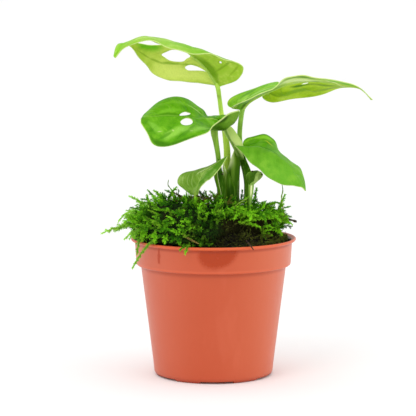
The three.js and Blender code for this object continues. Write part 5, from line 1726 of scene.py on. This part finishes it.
def dry_strands():
    bm = bmesh.new()
    for _ in range(170):
        spot, _ = bare_spot()
        strand(bm, spot, chance.uniform(0, 2 * math.pi), chance.uniform(0, 0.8),
               chance.uniform(5, 12), chance.uniform(0.16, 0.3))
    for count, area, heights, swing, rises, lengths in [
            (110, (-100, -16, 27, 34), (1, 9), 1.6, (-0.6, 0.9), (4, 9)),
            (140, (-62, 30, 47, 54), (0, 3.5), 2, (0, 0.9), (3, 7))]:
        for _ in range(count):
            spot, heading = bare_spot(*area)
            spot.z += chance.uniform(*heights)
            strand(bm, spot, heading + chance.uniform(-swing, swing), chance.uniform(*rises),
                   chance.uniform(*lengths), chance.uniform(0.16, 0.28))
    bmesh.ops.recalc_face_normals(bm, faces=bm.faces)
    return bm


make_piece(dry_strands(), "dry_strands", [dry_strand_finish()], ["moss_dry"], 60)

# %% [markdown]
# Half withered sprigs grow between the strands, and more of them along the wall at the right. A
# sprig that would reach through the wall is turned inwards. Small clods of peat break up the
# surface of the bare spot.

# %% Olive sprigs and crumbs
LONGEST_SPRIG = 15


def olive_sprigs():
    bm = moss_bmesh()
    for _ in range(70):
        spot, heading = bare_spot(-100, 8, 38, 53)
        spot.z += chance.uniform(0, 2.5)
        swing, size = heading + chance.uniform(-1.5, 1.5), chance.uniform(0.35, 0.6)
        tip = spot + lean_out(swing, 0) * LONGEST_SPRIG * size
        if math.hypot(tip.x, tip.y) > INSIDE_RADIUS:
            swing += math.pi
        plant_sprig(bm, chance.choice(slim), spot * MM, lean_out(swing, chance.uniform(0, 0.7)),
                    size, chance.uniform(-math.pi, math.pi))
    for _ in range(150):
        spot, heading = bare_spot(-42, 42, 51, 54)
        spot.z += chance.uniform(0.5, 4.6)
        swing = heading + chance.choice((-1, 1)) * chance.uniform(1.7, 2.0)
        plant_any(bm, slim, spot * MM, swing, (0, 0.3), (0.3, 0.5))
    return bm


def crumbs():
    bm = bmesh.new()
    for n in range(420):
        in_spot = n % 2
        spot, _ = bare_spot(-110, 0, 24, 54) if in_spot else bare_spot(-40, 44, 52, 54.4)
        spot.z += 0 if in_spot else chance.uniform(0, 2)
        size = chance.uniform(0.4, 1.4)
        place = Matrix.Translation((spot - Vector((0, 0, 0.2))) * MM)
        for axis in "XZ":
            place = place @ Matrix.Rotation(chance.uniform(0, 3), 4, axis)
        form = Matrix.Diagonal((size, size * chance.uniform(0.6, 1), size * 0.7, 1))
        bmesh.ops.create_icosphere(bm, subdivisions=1, radius=MM, matrix=place @ form)
    return bm


moss_olive = living_moss("moss_olive", (20, 22, 4), (60, 66, 16), (100, 112, 36))
make_piece(olive_sprigs(), "olive_sprigs", [moss_olive])
make_piece(crumbs(), "peat_crumbs", [peat_finish], (), 80)

# %% [markdown]
# A dark curl, a pale stem and a thin stalk stand up out of the moss. They are extruded like the
# petioles, with fewer sides because they are so thin, and roughened a little.

# %% Fine stems
FINE_STEMS = [
    [(-27, 0, 122, 0.5), (-28.2, 0, 131, 0.5), (-30.6, 0, 135, 0.45), (-33, 0, 138.4, 0.4),
     (-32.6, 0, 142.4, 0.25)],
    [(7, -27, 118, 0.3), (13, -23, 123.5, 0.42), (19, -20.2, 128, 0.42), (24.6, -20, 131, 0.3)],
    [(51.6, -5, 116, 0.5), (50, -5, 124, 0.5), (49.2, -5, 130, 0.45), (50.2, -5, 135, 0.45),
     (49.6, -5, 139, 0.3)],
]
stems = bmesh.new()
for stations in FINE_STEMS:
    extrude_stalk(stems, stations, 24, 6)
bmesh.ops.recalc_face_normals(stems, faces=stems.faces)
make_piece(knobbly(stems, 0.25), "fine_stems", [SKINS["fine_stem"]], (), 60)

# %% [markdown]
# ## Floor
# The real plant stands on a plain white sweep. A large white floor does the same here, and the
# light washes out its far edge.

# %% The floor
FLOOR_SIZE = 80
white = Finish("floor_white", Roughness=0.9, Base_Color=(0.97, 0.97, 0.97, 1))
floor = bmesh.new()
bmesh.ops.create_grid(floor, x_segments=1, y_segments=1, size=FLOOR_SIZE)
object_from(floor, "floor", [white.material])
